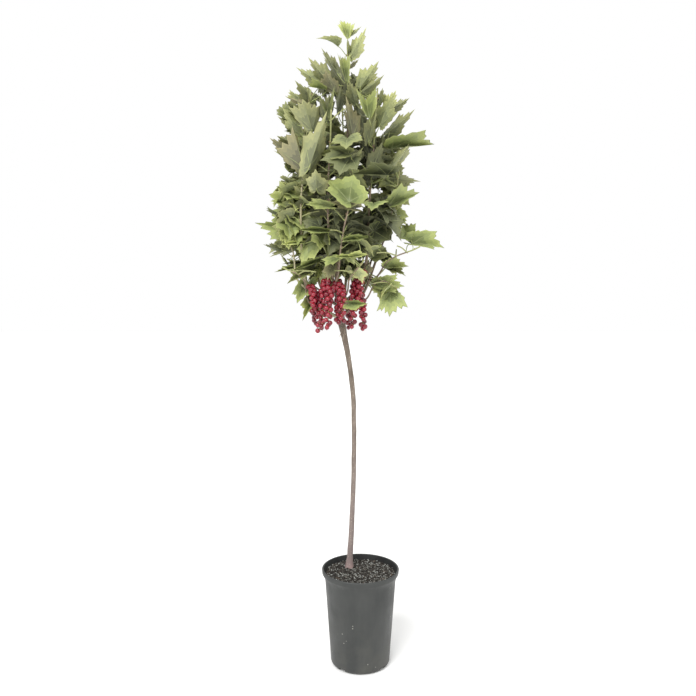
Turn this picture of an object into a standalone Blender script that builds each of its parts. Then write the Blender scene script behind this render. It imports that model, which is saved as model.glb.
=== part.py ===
# Redcurrant grown as a small standard in a round nursery pot.
# Metres, +Z up. The origin is the middle of the pot's flat underside and -Y is the front.
import math
import random

import bpy
import bmesh
import numpy as np
from mathutils import Vector
from mathutils.bvhtree import BVHTree

# Pot
POT_HEIGHT = 0.219
LIP_RADIUS = 0.085
LIP_HEIGHT = 0.010
SHOULDER_RADIUS = 0.0787
FOOT_RADIUS = 0.0655
FOOT_ROUND = 0.010
POT_WALL = 0.0016
LIP_WALL = 0.0042
LIP_ROUND = 0.0012
FOOT_STEPS = 4
POT_STEPS = 28
NOTCH_COUNT = 4
NOTCH_ANGLE = math.radians(-40.0)
NOTCH_WIDTH = 0.019
NOTCH_HEIGHT = 0.0080
NOTCH_DEPTH = 0.0160

# Potting soil
CLEARANCE = 0.0003
SEAT_MARGIN = 0.0001
RIM_STEPS = 6
SOIL_BELOW_RIM = 0.0115
SOIL_RINGS = 5
SOIL_RELIEF = 0.0018
SEAT_RADIUS = 0.014

# Trunk stations: height over the pot's underside, lean in X, lean in Y, diameter
TRUNK_FOOT = (-0.0240, 0.0320)
TRUNK_STATIONS = (
    (0.0000, 0.0000, 0.0000, 0.0185),
    (0.0080, 0.0002, -0.0002, 0.0160),
    (0.0300, 0.0012, -0.0010, 0.0128),
    (0.1000, 0.0050, -0.0045, 0.0112),
    (0.2100, 0.0090, -0.0105, 0.0104),
    (0.3100, 0.0100, -0.0165, 0.0100),
    (0.4000, 0.0080, -0.0215, 0.0104),
    (0.4800, -0.0020, -0.0265, 0.0112),
    (0.5350, -0.0130, -0.0295, 0.0138),
    (0.5720, -0.0200, -0.0310, 0.0172),
    (0.5950, -0.0235, -0.0318, 0.0180),
    (0.6080, -0.0250, -0.0320, 0.0150),
)
TRUNK_POINTS = 22
TRUNK_CROWDING = 1.35
TRUNK_BEVEL = 2

# Boughs: carrier, place along it (0 to 1), heading in degrees, tip, lift at the tip, radius
BOUGHS = (
    ("bough_centre", "trunk", 1.00, 60, (-0.036, 0.010, 1.000), 85, 0.0042),
    ("bough_left", "trunk", 0.955, 205, (-0.122, -0.058, 0.945), 88, 0.0040),
    ("bough_front", "trunk", 0.985, 262, (-0.066, -0.058, 0.940), 84, 0.0038),
    ("bough_right", "trunk", 0.985, 325, (0.014, -0.032, 0.960), 88, 0.0040),
    ("bough_right_low", "trunk", 0.960, 12, (0.040, 0.008, 0.915), 66, 0.0036),
    ("bough_back", "trunk", 0.970, 78, (-0.030, 0.078, 0.925), 84, 0.0038),
    ("bough_back_left", "trunk", 0.985, 140, (-0.104, 0.062, 0.905), 72, 0.0036),
    ("bough_back_right", "bough_back", 0.26, 25, (0.030, 0.076, 0.915), 66, 0.0030),
    ("side_left", "bough_left", 0.55, 165, (-0.150, -0.024, 0.935), 55, 0.0024),
    ("side_left_low", "bough_left", 0.34, 215, (-0.124, -0.075, 0.866), 20, 0.0022),
    ("side_front", "bough_front", 0.52, 285, (-0.040, -0.102, 0.935), 60, 0.0024),
    ("side_front_low", "bough_front", 0.26, 300, (-0.020, -0.088, 0.868), 22, 0.0022),
    ("side_right", "bough_right_low", 0.66, 330, (0.064, -0.030, 0.900), 18, 0.0022),
    ("side_right_low", "bough_right_low", 0.34, 350, (0.040, -0.024, 0.852), 5, 0.0020),
    ("side_back_low", "bough_back", 0.42, 110, (-0.050, 0.112, 0.880), 30, 0.0022),
    ("side_back_left_low", "bough_back_left", 0.46, 170, (-0.124, 0.050, 0.880), 15, 0.0022),
)
BOUGH_POINTS = 7
BOUGH_TAPER = 0.62
BOUGH_BEVEL = 1
BOUGH_SWING = 0.42
BOUGH_UPWARD = (0.35, 0.20, 0.08, 0.0)
BOUGH_CROTCH = math.radians(18.0)
BOUGH_SQUARENESS = 0.8
COLLAR_LENGTH = 1.3

# Masses: bough, end of its stem, seed, leaves up the stem, blade length, and its furthest leaves,
# each as its tip with the blade's pitch and roll in degrees
MASSES = (
    ("leaves_top", "bough_centre", (-0.028, 0.000, 1.335), 11, 16, 0.046,
     ((-0.026, 0.000, 1.378, 75, 20), (-0.090, -0.010, 1.334, 8, -6), (0.013, -0.012, 1.354, 60, 12),
      (-0.078, -0.020, 1.318, 48, 0), (-0.030, -0.050, 1.312, 70, 0), (-0.020, 0.062, 1.300, 60, 0),
      (0.020, 0.030, 1.300, 50, 0))),
    ("leaves_upper_left", "bough_left", (-0.102, -0.042, 1.235), 23, 12, 0.053,
     ((-0.129, -0.030, 1.280, 18, -30), (-0.152, -0.010, 1.225, 15, -20), (-0.163, -0.030, 1.180, 25, -20),
      (-0.177, -0.050, 1.128, 25, -30), (-0.104, -0.040, 1.300, 45, 0),
      (-0.108, -0.125, 1.140, 62, 0), (-0.195, -0.070, 0.985, 12, -45))),
    ("leaves_upper_front", "bough_front", (-0.060, -0.090, 1.190), 31, 12, 0.054,
     ((-0.066, -0.132, 1.172, 74, 20), (-0.088, -0.130, 1.235, 50, 0), (-0.025, -0.140, 1.190, 58, 0),
      (-0.050, -0.105, 1.262, 70, 0), (-0.078, -0.150, 1.060, 40, 30))),
    ("leaves_upper_right", "bough_right", (0.032, -0.030, 1.240), 47, 12, 0.054,
     ((0.024, -0.020, 1.290, 62, 20), (0.043, -0.045, 1.252, 40, 0), (0.097, -0.030, 1.220, 35, 20),
      (0.040, -0.080, 1.240, 60, 0), (0.108, -0.020, 1.190, 32, 20), (0.080, -0.060, 1.170, 50, 0),
      (0.000, -0.090, 1.200, 64, 0))),
    ("leaves_upper_back", "bough_back", (-0.040, 0.100, 1.225), 53, 12, 0.058,
     ((-0.045, 0.105, 1.290, 70, 0), (-0.110, 0.115, 1.210, 40, 0), (0.030, 0.120, 1.220, 40, 0),
      (-0.030, 0.160, 1.165, 55, 0), (-0.060, 0.165, 1.080, 40, 0))),
    ("leaves_left", "side_left", (-0.160, -0.014, 1.045), 61, 10, 0.054,
     ((-0.193, -0.020, 1.038, 8, -20), (-0.220, -0.045, 0.962, 8, -35), (-0.198, -0.035, 0.920, 0, -30))),
    ("leaves_right", "bough_right_low", (0.086, 0.004, 1.120), 73, 12, 0.056,
     ((0.153, -0.020, 1.134, 5, 15), (0.125, -0.015, 1.066, 2, 15), (0.123, -0.045, 1.041, 25, 25),
      (0.085, -0.035, 1.125, 55, 20),
      (0.100, 0.050, 1.110, 35, 0), (0.085, -0.055, 0.990, 15, 35),
      (0.085, 0.000, 1.200, 65, 0))),
    ("leaves_front", "side_front", (-0.012, -0.128, 1.060), 83, 10, 0.055,
     ((-0.040, -0.185, 1.045, 15, 20), (0.030, -0.160, 1.075, 30, 0), (0.057, -0.115, 1.016, 5, 15),
      (-0.020, -0.150, 1.120, 60, 0), (0.030, -0.150, 1.000, 5, 0))),
    ("leaves_back_left", "bough_back_left", (-0.132, 0.092, 1.120), 97, 11, 0.058,
     ((-0.150, 0.090, 1.175, 55, 0), (-0.176, 0.080, 1.050, 20, 0), (-0.120, 0.165, 1.080, 30, 0),
      (-0.185, 0.080, 0.970, 0, 20))),
    ("leaves_back_right", "bough_back_right", (0.062, 0.104, 1.110), 103, 11, 0.058,
     ((0.080, 0.105, 1.180, 60, 0), (0.114, 0.090, 1.060, 15, 0), (0.055, 0.165, 1.080, 35, 0),
      (0.102, 0.120, 0.965, 0, 0))),
    ("leaves_left_low", "side_left_low", (-0.158, -0.080, 0.884), 109, 7, 0.048,
     ((-0.176, -0.070, 0.862, -20, -20), (-0.142, -0.090, 0.842, -32, -30), (-0.120, -0.085, 0.778, -72, 36),
      (-0.135, -0.145, 0.885, -5, 0))),
    ("leaves_front_low", "side_front_low", (0.004, -0.124, 0.900), 127, 7, 0.050,
     ((0.012, -0.180, 0.915, 0, 0), (-0.050, -0.165, 0.895, 0, 10), (0.045, -0.140, 0.900, 5, 0))),
    ("leaves_right_middle", "side_right", (0.120, -0.045, 0.925), 131, 7, 0.048,
     ((0.170, -0.060, 0.908, -18, 50), (0.112, -0.045, 0.950, 0, 40), (0.103, -0.065, 0.890, 8, 30),
      (0.120, 0.005, 0.930, 0, 0))),
    ("leaves_right_low", "side_right_low", (0.072, -0.040, 0.842), 139, 6, 0.050,
     ((0.093, -0.055, 0.845, -10, 40), (0.062, -0.060, 0.775, -62, 20), (0.100, -0.010, 0.845, -5, 0))),
    ("leaves_back_low", "side_back_low", (-0.040, 0.152, 0.905), 149, 9, 0.056,
     ((-0.030, 0.195, 0.900, -5, 0), (0.020, 0.160, 0.860, -15, 0), (-0.090, 0.165, 0.860, -15, 0),
      (-0.050, 0.150, 0.790, -65, 0))),
    ("leaves_back_left_low", "side_back_left_low", (-0.160, 0.074, 0.895), 151, 8, 0.054,
     ((-0.198, 0.080, 0.905, -5, 0), (-0.150, 0.110, 0.830, -40, 0), (-0.150, 0.040, 0.800, -60, 0))),
)
STEM_POINTS = 7
STEM_BEVEL = 0
STEM_SWING = 0.35
STEM_UPWARD = 0.15
STEM_TIP_RADIUS = 0.0015
TWIG_ROOT_RADIUS = 0.0017
TWIG_TIP_RADIUS = 0.0014
TWIG_RADII = (TWIG_ROOT_RADIUS, 0.5 * (TWIG_ROOT_RADIUS + TWIG_TIP_RADIUS), TWIG_TIP_RADIUS)
TWIG_UPPER = (0.31, 0.12, 0.95)
TWIG_LENGTH = 0.050
TWIG_ARCH = 0.06
TWIGS_PER_MASS = 2
TWIG_SITES = (0.55, 0.97)
TWIG_TRIES = 12
TWIG_HIDDEN = 0.8
TWIG_SPREAD = 0.6
TWIG_LIFT = (0.55, 0.4)
TWIG_SIZES = (0.75, 1.3)
TWIG_PLACES = (0.15, 0.75)

# Crown outline: height, reach to the left, to the right, and to front or back of its axis
CROWN_AXIS = (-0.030, -0.005)
CROWN_OUTLINE = (
    (0.745, 0.100, 0.100, 0.120),
    (0.800, 0.100, 0.110, 0.150),
    (0.850, 0.118, 0.114, 0.180),
    (0.900, 0.132, 0.118, 0.195),
    (0.975, 0.162, 0.120, 0.198),
    (1.040, 0.152, 0.122, 0.195),
    (1.085, 0.108, 0.104, 0.185),
    (1.120, 0.138, 0.118, 0.180),
    (1.170, 0.126, 0.114, 0.170),
    (1.229, 0.120, 0.102, 0.150),
    (1.276, 0.092, 0.064, 0.115),
    (1.300, 0.078, 0.048, 0.095),
    (1.345, 0.045, 0.040, 0.055),
    (1.380, 0.022, 0.022, 0.025),
)

# Leaves: polar outline about the petiole's end, as degrees from the midrib and share of the length
LEAF_OUTLINE = ((0, 1.00), (25, 0.70), (49, 0.88), (88, 0.58), (120, 0.60))
LEAF_THICKNESS = 0.030
LEAF_FOLD = 0.16
LEAF_DROOP = 0.20
PETIOLE_RADIUS = 0.0009
PETIOLE_FLATNESS = 0.8
PETIOLE_HIDDEN = 0.7
PETIOLE_SHARE = 0.55
PETIOLE_RISE = math.radians(14.0)
PITCH_BY_HEIGHT = ((0.78, -28.0), (0.88, -2.0), (0.98, 12.0), (1.08, 42.0), (1.20, 58.0), (1.38, 68.0))
FIRST_LEAF = 0.06
YOUNG_FROM = 0.8
YOUNG_SCALE = 0.88
LEAF_SIZES = (0.9, 1.12)
PETIOLE_SIZES = (0.7, 1.2)
HEADING_SPREAD = 0.5
PITCH_ABOVE = 0.02
PITCH_SPREAD = 0.32
ROLL_SPREAD = 0.60
GOLDEN_ANGLE = math.radians(137.5)
LEAF_TRIES = 20
LEAST_SLANT = 0.1
ROOT_MARGIN = 0.0008
TEST_GROWTH = 1.04
TEST_SWELL = 1.6
SPACE_SLACK = 0.030
ROOM_STEP = 0.86
SITE_FIRST = 2
SITE_STEPS = 14
SITE_REACH = 1.6
SITE_CHOICES = 6
SITE_NEARNESS = 6.0
AIMED_SIZES = (1.0, 0.85, 0.7)
AIMED_PETIOLE = 0.5
AIMED_REACH = 0.95
LEAF_ROLLS = (0.0, 0.3, -0.3, 0.7, -0.7, 1.1, -1.1)

# Fruit: bough, place along it, heading in degrees, length of the truss
TRUSSES = (
    ("bough_left", 0.52, 350, 0.080),
    ("bough_left", 0.60, 10, 0.052),
    ("bough_front", 0.60, 195, 0.096),
    ("bough_front", 0.52, 240, 0.086),
    ("bough_front", 0.56, 290, 0.080),
    ("side_front_low", 0.45, 215, 0.060),
    ("bough_right", 0.52, 205, 0.098),
    ("bough_right", 0.62, 215, 0.068),
    ("bough_right", 0.36, 256, 0.076),
    ("bough_back", 0.36, 60, 0.066),
    ("bough_back_left", 0.40, 190, 0.062),
)
TRUSS_TURNS = (0, 12, -12, 24, -24, 40, -40, 60, -60, 80, -80, 110, -110, 140, -140)
TRUSS_ROOM = 0.0072
BERRY_STEP = 0.0104
BERRY_RADIUS = 0.0060
STRIG_RADIUS = 0.0008
STRIG_POINTS = 6
STRIG_REACH = 0.018
STRIG_BARE = 0.26
STRIG_SWING = 0.35
BERRY_OFFSET = 0.78
BERRY_TAPER = 0.16
BERRY_ROOM = 1.12

COLLECTION = "potted_currant_bush"
COLOURS = {
    "pot": ((0.095, 0.100, 0.096), 0.55),
    "soil": ((0.030, 0.022, 0.017), 0.95),
    "bark": ((0.230, 0.170, 0.140), 0.85),
    "shoot": ((0.380, 0.280, 0.170), 0.75),
    "leaf": ((0.230, 0.290, 0.110), 0.60),
    "berry": ((0.560, 0.020, 0.040), 0.25),
}


def clear_scene():
    """Empty the scene of every object."""
    for thing in list(bpy.data.objects):
        bpy.data.objects.remove(thing, do_unlink=True)


def material(name):
    """The material of that name, made on its first use."""
    found = bpy.data.materials.get(name)
    if found:
        return found
    colour, roughness = COLOURS[name]
    made = bpy.data.materials.new(name)
    made.use_nodes = True
    shader = made.node_tree.nodes["Principled BSDF"]
    shader.inputs["Base Color"].default_value = (*colour, 1.0)
    shader.inputs["Roughness"].default_value = roughness
    shader.inputs["Metallic"].default_value = 0.0
    return made


def new_collection(name):
    """A new collection in the scene."""
    made = bpy.data.collections.new(name)
    bpy.context.scene.collection.children.link(made)
    return made


def add_mesh(name, mesh, collection, finish):
    """An object for a mesh, in a collection and with one material."""
    thing = bpy.data.objects.new(name, mesh)
    collection.objects.link(thing)
    mesh.materials.clear()
    mesh.materials.append(material(finish))
    return thing


def mesh_from(name, points, faces):
    """A mesh with those points and faces."""
    mesh = bpy.data.meshes.new(name)
    mesh.from_pydata([tuple(p) for p in points], [], faces)
    mesh.update()
    return mesh


def tree_of(thing):
    """A search tree over an object's triangles."""
    points = [v.co.copy() for v in thing.data.vertices]
    faces = [tuple(p.vertices) for p in thing.data.polygons]
    return BVHTree.FromPolygons(points, faces)


def between(table, value):
    """Straight-line reading of a table of rows whose first entry rises."""
    if value <= table[0][0]:
        return table[0][1:]
    for low, high in zip(table, table[1:]):
        if value <= high[0]:
            share = (value - low[0]) / (high[0] - low[0])
            return tuple(a + share * (b - a) for a, b in zip(low[1:], high[1:]))
    return table[-1][1:]


def bezier(ends, share):
    """Point on a cubic curve."""
    a, b, c, d = ends
    rest = 1.0 - share
    return a * rest**3 + b * 3 * rest**2 * share + c * 3 * rest * share**2 + d * share**3


def aim(heading, lift):
    """Unit vector from a heading and a lift in radians."""
    flat = math.cos(lift)
    return Vector((flat * math.cos(heading), flat * math.sin(heading), math.sin(lift)))


def tube(name, points, radii, bevel, collection, finish):
    """A closed tapering tube through the points, as a mesh object."""
    curve = bpy.data.curves.new(name, "CURVE")
    curve.dimensions = "3D"
    curve.bevel_depth = 1.0
    curve.bevel_resolution = bevel
    curve.use_fill_caps = True
    spline = curve.splines.new("POLY")
    spline.points.add(len(points) - 1)
    for knot, point, radius in zip(spline.points, points, radii):
        knot.co = (*point, 1.0)
        knot.radius = radius
    guide = bpy.data.objects.new(name + "_guide", curve)
    collection.objects.link(guide)
    graph = bpy.context.evaluated_depsgraph_get()
    mesh = bpy.data.meshes.new_from_object(guide.evaluated_get(graph))
    mesh.name = name
    bpy.data.objects.remove(guide, do_unlink=True)
    bpy.data.curves.remove(curve)
    shape = bmesh.new()
    shape.from_mesh(mesh)
    bmesh.ops.remove_doubles(shape, verts=shape.verts, dist=1e-6)
    bmesh.ops.triangulate(shape, faces=shape.faces)
    bmesh.ops.recalc_face_normals(shape, faces=shape.faces)
    shape.to_mesh(mesh)
    shape.free()
    return add_mesh(name, mesh, collection, finish)


def turned(name, profile, steps, collection, finish):
    """A turned solid from a profile of (radius, height) points, with a Screw modifier."""
    points = [(r, 0.0, z) for r, z in profile]
    edges = [(i, i + 1) for i in range(len(points) - 1)]
    mesh = bpy.data.meshes.new(name)
    mesh.from_pydata(points, edges, [])
    thing = add_mesh(name, mesh, collection, finish)
    screw = thing.modifiers.new("turn", "SCREW")
    screw.steps = steps
    screw.render_steps = steps
    screw.use_merge_vertices = True
    screw.merge_threshold = 1e-5
    screw.use_smooth_shade = True
    return thing


def inner_radius(height):
    """Radius of the pot's inner wall at a height."""
    share = (height - FOOT_ROUND) / (POT_HEIGHT - LIP_HEIGHT - FOOT_ROUND)
    outer = FOOT_RADIUS + max(share, 0.0) * (SHOULDER_RADIUS - FOOT_RADIUS)
    return outer - POT_WALL


def make_pot(parts, cutters):
    """The pot: a tapering shell with a rolled lip, a rounded foot and notches to drain it."""
    lip_in = LIP_RADIUS - LIP_WALL
    shoulder = POT_HEIGHT - LIP_HEIGHT
    inside = [(0.0, POT_WALL), (FOOT_RADIUS - FOOT_ROUND, POT_WALL),
              (inner_radius(FOOT_ROUND), FOOT_ROUND + POT_WALL),
              (inner_radius(shoulder), shoulder), (lip_in, POT_HEIGHT - LIP_ROUND)]
    lip = [(lip_in + LIP_ROUND, POT_HEIGHT), (LIP_RADIUS - LIP_ROUND, POT_HEIGHT),
           (LIP_RADIUS, POT_HEIGHT - LIP_ROUND), (LIP_RADIUS, shoulder + LIP_ROUND),
           (LIP_RADIUS - LIP_ROUND, shoulder)]
    foot = []
    for step in range(FOOT_STEPS):
        turn = math.pi / 2 * step / (FOOT_STEPS - 1)
        radius = FOOT_RADIUS - FOOT_ROUND * (1.0 - math.cos(turn))
        foot.append((radius, FOOT_ROUND * (1.0 - math.sin(turn))))
    outside = [(SHOULDER_RADIUS, shoulder)] + foot + [(0.0, 0.0)]
    pot = turned("pot", inside + lip + outside, POT_STEPS, parts, "pot")
    for number in range(NOTCH_COUNT):
        bpy.ops.mesh.primitive_cube_add(size=1.0)
        cutter = bpy.context.object
        cutter.name = "notch_" + str(number)
        angle = NOTCH_ANGLE + number * math.tau / NOTCH_COUNT
        cutter.scale = (2 * NOTCH_DEPTH, NOTCH_WIDTH, 2 * NOTCH_HEIGHT)
        cutter.rotation_euler = (0.0, 0.0, angle)
        cutter.location = (FOOT_RADIUS * math.cos(angle), FOOT_RADIUS * math.sin(angle), 0.0)
        cutter.hide_render = True
        cutter.display_type = "WIRE"
        for holder in list(cutter.users_collection):
            holder.objects.unlink(cutter)
        cutters.objects.link(cutter)
    cut = pot.modifiers.new("drain", "BOOLEAN")
    cut.operation = "DIFFERENCE"
    cut.operand_type = "COLLECTION"
    cut.collection = cutters
    cut.solver = "EXACT"
    return pot


def soil_seat():
    """Middle of the flat place that the trunk stands on."""
    return Vector((*TRUNK_FOOT, POT_HEIGHT - SOIL_BELOW_RIM))


def make_soil(parts):
    """The potting soil: it fills the pot, and its top is rough but for the trunk's seat."""
    level = POT_HEIGHT - SOIL_BELOW_RIM
    rim = inner_radius(level) - CLEARANCE
    rows = [(rim * (ring + 0.5) / SOIL_RINGS, level) for ring in range(SOIL_RINGS)] + [(rim, level)]
    floor = POT_WALL + CLEARANCE
    foot = (FOOT_RADIUS - FOOT_ROUND - 2 * CLEARANCE, floor)
    corner = (inner_radius(FOOT_ROUND) - 2 * CLEARANCE, FOOT_ROUND + floor)
    profile = [(0.0, level)] + rows + [corner, foot, (0.0, floor)]
    soil = turned("potting_soil", profile, POT_STEPS, parts, "soil")
    graph = bpy.context.evaluated_depsgraph_get()
    mesh = bpy.data.meshes.new_from_object(soil.evaluated_get(graph))
    soil.modifiers.clear()
    soil.data = mesh
    dice = random.Random(5)
    seat = soil_seat()
    for vertex in mesh.vertices:
        lift = dice.uniform(-1.0, 1.0) * SOIL_RELIEF
        away = math.hypot(vertex.co.x - seat.x, vertex.co.y - seat.y)
        if vertex.co.z > level - CLEARANCE and away > SEAT_RADIUS:
            vertex.co.z += lift if away > 3 * SEAT_RADIUS else -abs(lift)
    shape = bmesh.new()
    shape.from_mesh(mesh)
    bmesh.ops.triangulate(shape, faces=shape.faces)
    shape.to_mesh(mesh)
    shape.free()
    return soil


def trunk_route():
    """Points and radii of the trunk's middle line, from its flat cut on the soil to its head.

    Its points crowd together towards the foot, and it leaves the soil straight up.
    """
    foot = soil_seat() + Vector((0.0, 0.0, CLEARANCE))
    top = TRUNK_STATIONS[-1][0]
    points = []
    radii = []
    for number in range(TRUNK_POINTS):
        rise = top * (number / (TRUNK_POINTS - 1)) ** TRUNK_CROWDING
        lean_x, lean_y, width = between(TRUNK_STATIONS, rise)
        points.append(foot + Vector((lean_x, lean_y, rise)))
        radii.append(width / 2)
    points[1].x = points[0].x
    points[1].y = points[0].y
    return points, radii


def along(route, share):
    """Point, direction and radius at a share of a route's length."""
    points, radii = route
    place = share * (len(points) - 1)
    index = min(int(place), len(points) - 2)
    rest = place - index
    here = points[index].lerp(points[index + 1], rest)
    ahead = (points[index + 1] - points[index]).normalized()
    return here, ahead, radii[index] + rest * (radii[index + 1] - radii[index])


def seat_on(carrier_tree, start, ahead, radius):
    """Where a limb's end lies one clearance off its carrier, moved along its own direction."""
    side = ahead.orthogonal().normalized()
    rim = [start]
    for turn in range(RIM_STEPS):
        angle = turn * math.tau / RIM_STEPS
        rim.append(start + radius * (math.cos(angle) * side + math.sin(angle) * ahead.cross(side)))
    nearest = min(carrier_tree.find_nearest(point)[3] for point in rim)
    return start + ahead * (CLEARANCE + SEAT_MARGIN - nearest)


def limb_route(carrier, carrier_tree, share, heading, tip, lift, radius, upward):
    """Route of a tapering limb from its carrier's side, or from its end, to its own tip.

    upward says how far the limb turns up as it leaves.
    """
    here, ahead, width = along(carrier, share)
    heading = math.radians(heading)
    if share == 1.0:
        start = here + ahead * CLEARANCE
        leave = ahead
    else:
        leave = aim(heading, BOUGH_CROTCH)
        leave = (leave - ahead * leave.dot(ahead) * BOUGH_SQUARENESS).normalized()
        start = seat_on(carrier_tree, here + leave * (width + 3 * radius), leave, radius)
        start = seat_on(carrier_tree, start, leave, radius)
    tip = Vector(tip)
    span = (tip - start).length
    outward = tip - start
    end = aim(math.atan2(outward.y, outward.x), math.radians(lift))
    rise = leave.lerp(Vector((0.0, 0.0, 1.0)), upward).normalized()
    collar = start + leave * radius * COLLAR_LENGTH
    ends = (collar, collar + rise * span * BOUGH_SWING, tip - end * span * BOUGH_SWING, tip)
    points = [start] + [bezier(ends, number / (BOUGH_POINTS - 2)) for number in range(BOUGH_POINTS - 1)]
    loss = (1.0 - BOUGH_TAPER) / (BOUGH_POINTS - 1)
    return points, [radius * (1.0 - loss * number) for number in range(BOUGH_POINTS)]


def leaf_pitch(height):
    """How far a leaf's blade points up at a height, in radians."""
    return math.radians(between(PITCH_BY_HEIGHT, height)[0])


def twig_shape(points, radii):
    """Points and faces of a closed three-sided twig."""
    rows = []
    for number, (point, radius) in enumerate(zip(points, radii)):
        ahead = (points[min(number + 1, len(points) - 1)] - points[max(number - 1, 0)]).normalized()
        side = ahead.cross(Vector(TWIG_UPPER)).normalized()
        rows.append([])
        for corner in range(3):
            angle = corner * math.tau / 3
            rows[-1].append(point + radius * (math.cos(angle) * side + math.sin(angle) * side.cross(ahead)))
    shape = [p for row in rows for p in row]
    faces = [(0, 1, 2)]
    for row in range(len(points) - 1):
        low = 3 * row
        for a, b in ((0, 1), (1, 2), (2, 0)):
            faces.append((low + b, low + a, low + a + 3))
            faces.append((low + b, low + a + 3, low + b + 3))
    top = 3 * (len(points) - 1)
    faces.append((top + 2, top + 1, top))
    return shape, faces


def leaf_shape(root, end, axis, upper, length, swell=1.0):
    """Points and faces of one leaf: a petiole from its root to its end, and a lobed blade.

    swell thickens the blade, for tests of clearance.
    """
    side = axis.cross(upper).normalized()
    thick = LEAF_THICKNESS * length * swell
    stalk = (end - root).normalized()
    stalk_side = stalk.cross(upper).normalized()
    stalk_up = stalk_side.cross(stalk)
    points = []
    ends = ((root, stalk_up, stalk_side, PETIOLE_RADIUS), (end, upper, side, thick / 2))
    for place, up, across, width in ends:
        points.append(place + up * width)
        points.append(place + (across - up) * width * PETIOLE_FLATNESS)
        points.append(place - (across + up) * width * PETIOLE_FLATNESS)
    turns = [(-degrees, share) for degrees, share in LEAF_OUTLINE[:0:-1]] + list(LEAF_OUTLINE)
    for degrees, share in turns:
        angle = math.radians(degrees)
        forward = math.cos(angle) * share
        across = -math.sin(angle) * share
        height = LEAF_FOLD * abs(across) - LEAF_DROOP * forward * abs(forward)
        points.append(end + (axis * forward + side * across + upper * height) * length)
    count = len(turns)
    middle = 6 + count // 2
    faces = [(0, 2, 1)]
    for a, b in ((0, 1), (1, 2), (2, 0)):
        faces.append((a, b + 3, a + 3))
        faces.append((a, b, b + 3))
    last = 6 + count - 1
    for first in range(6, last):
        faces.append((3, first, first + 1))
        faces.append((4 if first < middle else 5, first + 1, first))
    faces.append((4, 5, middle))
    faces.append((3, 4, 6))
    faces.append((3, last, 5))
    return points, faces


def inside_crown(point):
    """Whether a point lies inside the crown's outline."""
    if point.z < CROWN_OUTLINE[0][0] or point.z > CROWN_OUTLINE[-1][0]:
        return False
    left, right, deep = between(CROWN_OUTLINE, point.z)
    across = point.x - CROWN_AXIS[0]
    reach = right if across > 0 else left
    return (across / reach) ** 2 + ((point.y - CROWN_AXIS[1]) / deep) ** 2 <= 1.0


class Crown:
    """What already stands in the crown, and the space of each mass."""

    def __init__(self):
        self.taken = []
        self.owners = []
        self.starts = []
        self.spans = []

    def claim(self, owner, line):
        """Give a mass the space round a line of points."""
        for a, b in zip(line, line[1:]):
            self.owners.append(owner)
            self.starts.append(tuple(a))
            self.spans.append(tuple(b - a))

    def add(self, owner, kind, points, faces):
        """Note a solid that later leaves keep clear of."""
        middle = sum(points, Vector()) / len(points)
        radius = max((p - middle).length for p in points)
        self.taken.append((owner, kind, middle, radius, BVHTree.FromPolygons(points, faces)))

    def add_object(self, owner, kind, thing):
        """Note an object that later leaves keep clear of."""
        points = [v.co.copy() for v in thing.data.vertices]
        self.add(owner, kind, points, [tuple(p.vertices) for p in thing.data.polygons])

    def free(self, owner, points, faces, own_kinds):
        """Whether a solid crosses nothing, its own mass's parts of the kinds given among them."""
        middle = sum(points, Vector()) / len(points)
        radius = max((p - middle).length for p in points)
        tree = None
        for who, kind, there, size, other in self.taken:
            if who == owner and kind not in own_kinds:
                continue
            if (there - middle).length > size + radius:
                continue
            tree = tree or BVHTree.FromPolygons(points, faces)
            if tree.overlap(other):
                return False
        return True

    def owns(self, owner, points):
        """Whether points keep to a mass's own space: its lines are the nearest, within SPACE_SLACK."""
        starts = np.array(self.starts)
        spans = np.array(self.spans)
        mine = np.array([name == owner for name in self.owners])
        away = np.array([tuple(p) for p in points])[:, None, :] - starts[None]
        share = np.clip((away * spans).sum(axis=2) / (spans**2).sum(axis=1), 0.0, 1.0)
        far = np.linalg.norm(away - share[:, :, None] * spans, axis=2)
        return bool(np.all(far[:, mine].min(axis=1) < far[:, ~mine].min(axis=1) + SPACE_SLACK))


def blade_frame(heading, pitch, roll):
    """A blade's axis and upper direction from its heading, pitch and roll."""
    axis = aim(heading, pitch)
    upper = aim(heading + math.pi, math.pi / 2 - pitch)
    side = axis.cross(upper)
    return axis, (upper * math.cos(roll) + side * math.sin(roll)).normalized()


def clear_of_root(site, toward, radius):
    """Where a straight run from a site comes clear of the stem or twig that it grows on.

    A site is its point, its stem's direction and radius there, and whether it is the stem's end.
    """
    away = (toward - site[0]).normalized()
    slant = 1.0 if site[3] else max(away.cross(site[1]).length, LEAST_SLANT)
    return site[0] + away * (site[2] + radius + ROOT_MARGIN) / slant


def check_leaf(crown, name, site, end, axis, upper, length, keep_in):
    """A leaf between a site and its petiole's end if it has room, or else None."""
    points, faces = leaf_shape(site[0], end, axis, upper, length)
    if keep_in and not all(inside_crown(point) for point in points[6:]):
        return None
    if not crown.owns(name, points[6:]):
        return None
    clear_root = clear_of_root(site, end, PETIOLE_RADIUS)
    if (clear_root - site[0]).length > PETIOLE_HIDDEN * (end - site[0]).length:
        return None
    wide, wide_faces = leaf_shape(clear_root, end, axis, upper, length * TEST_GROWTH, TEST_SWELL)
    if not crown.free(name, wide, wide_faces, ("blade", "twig")):
        return None
    return (points, faces) if crown.free(name, points, faces, ()) else None


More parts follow.
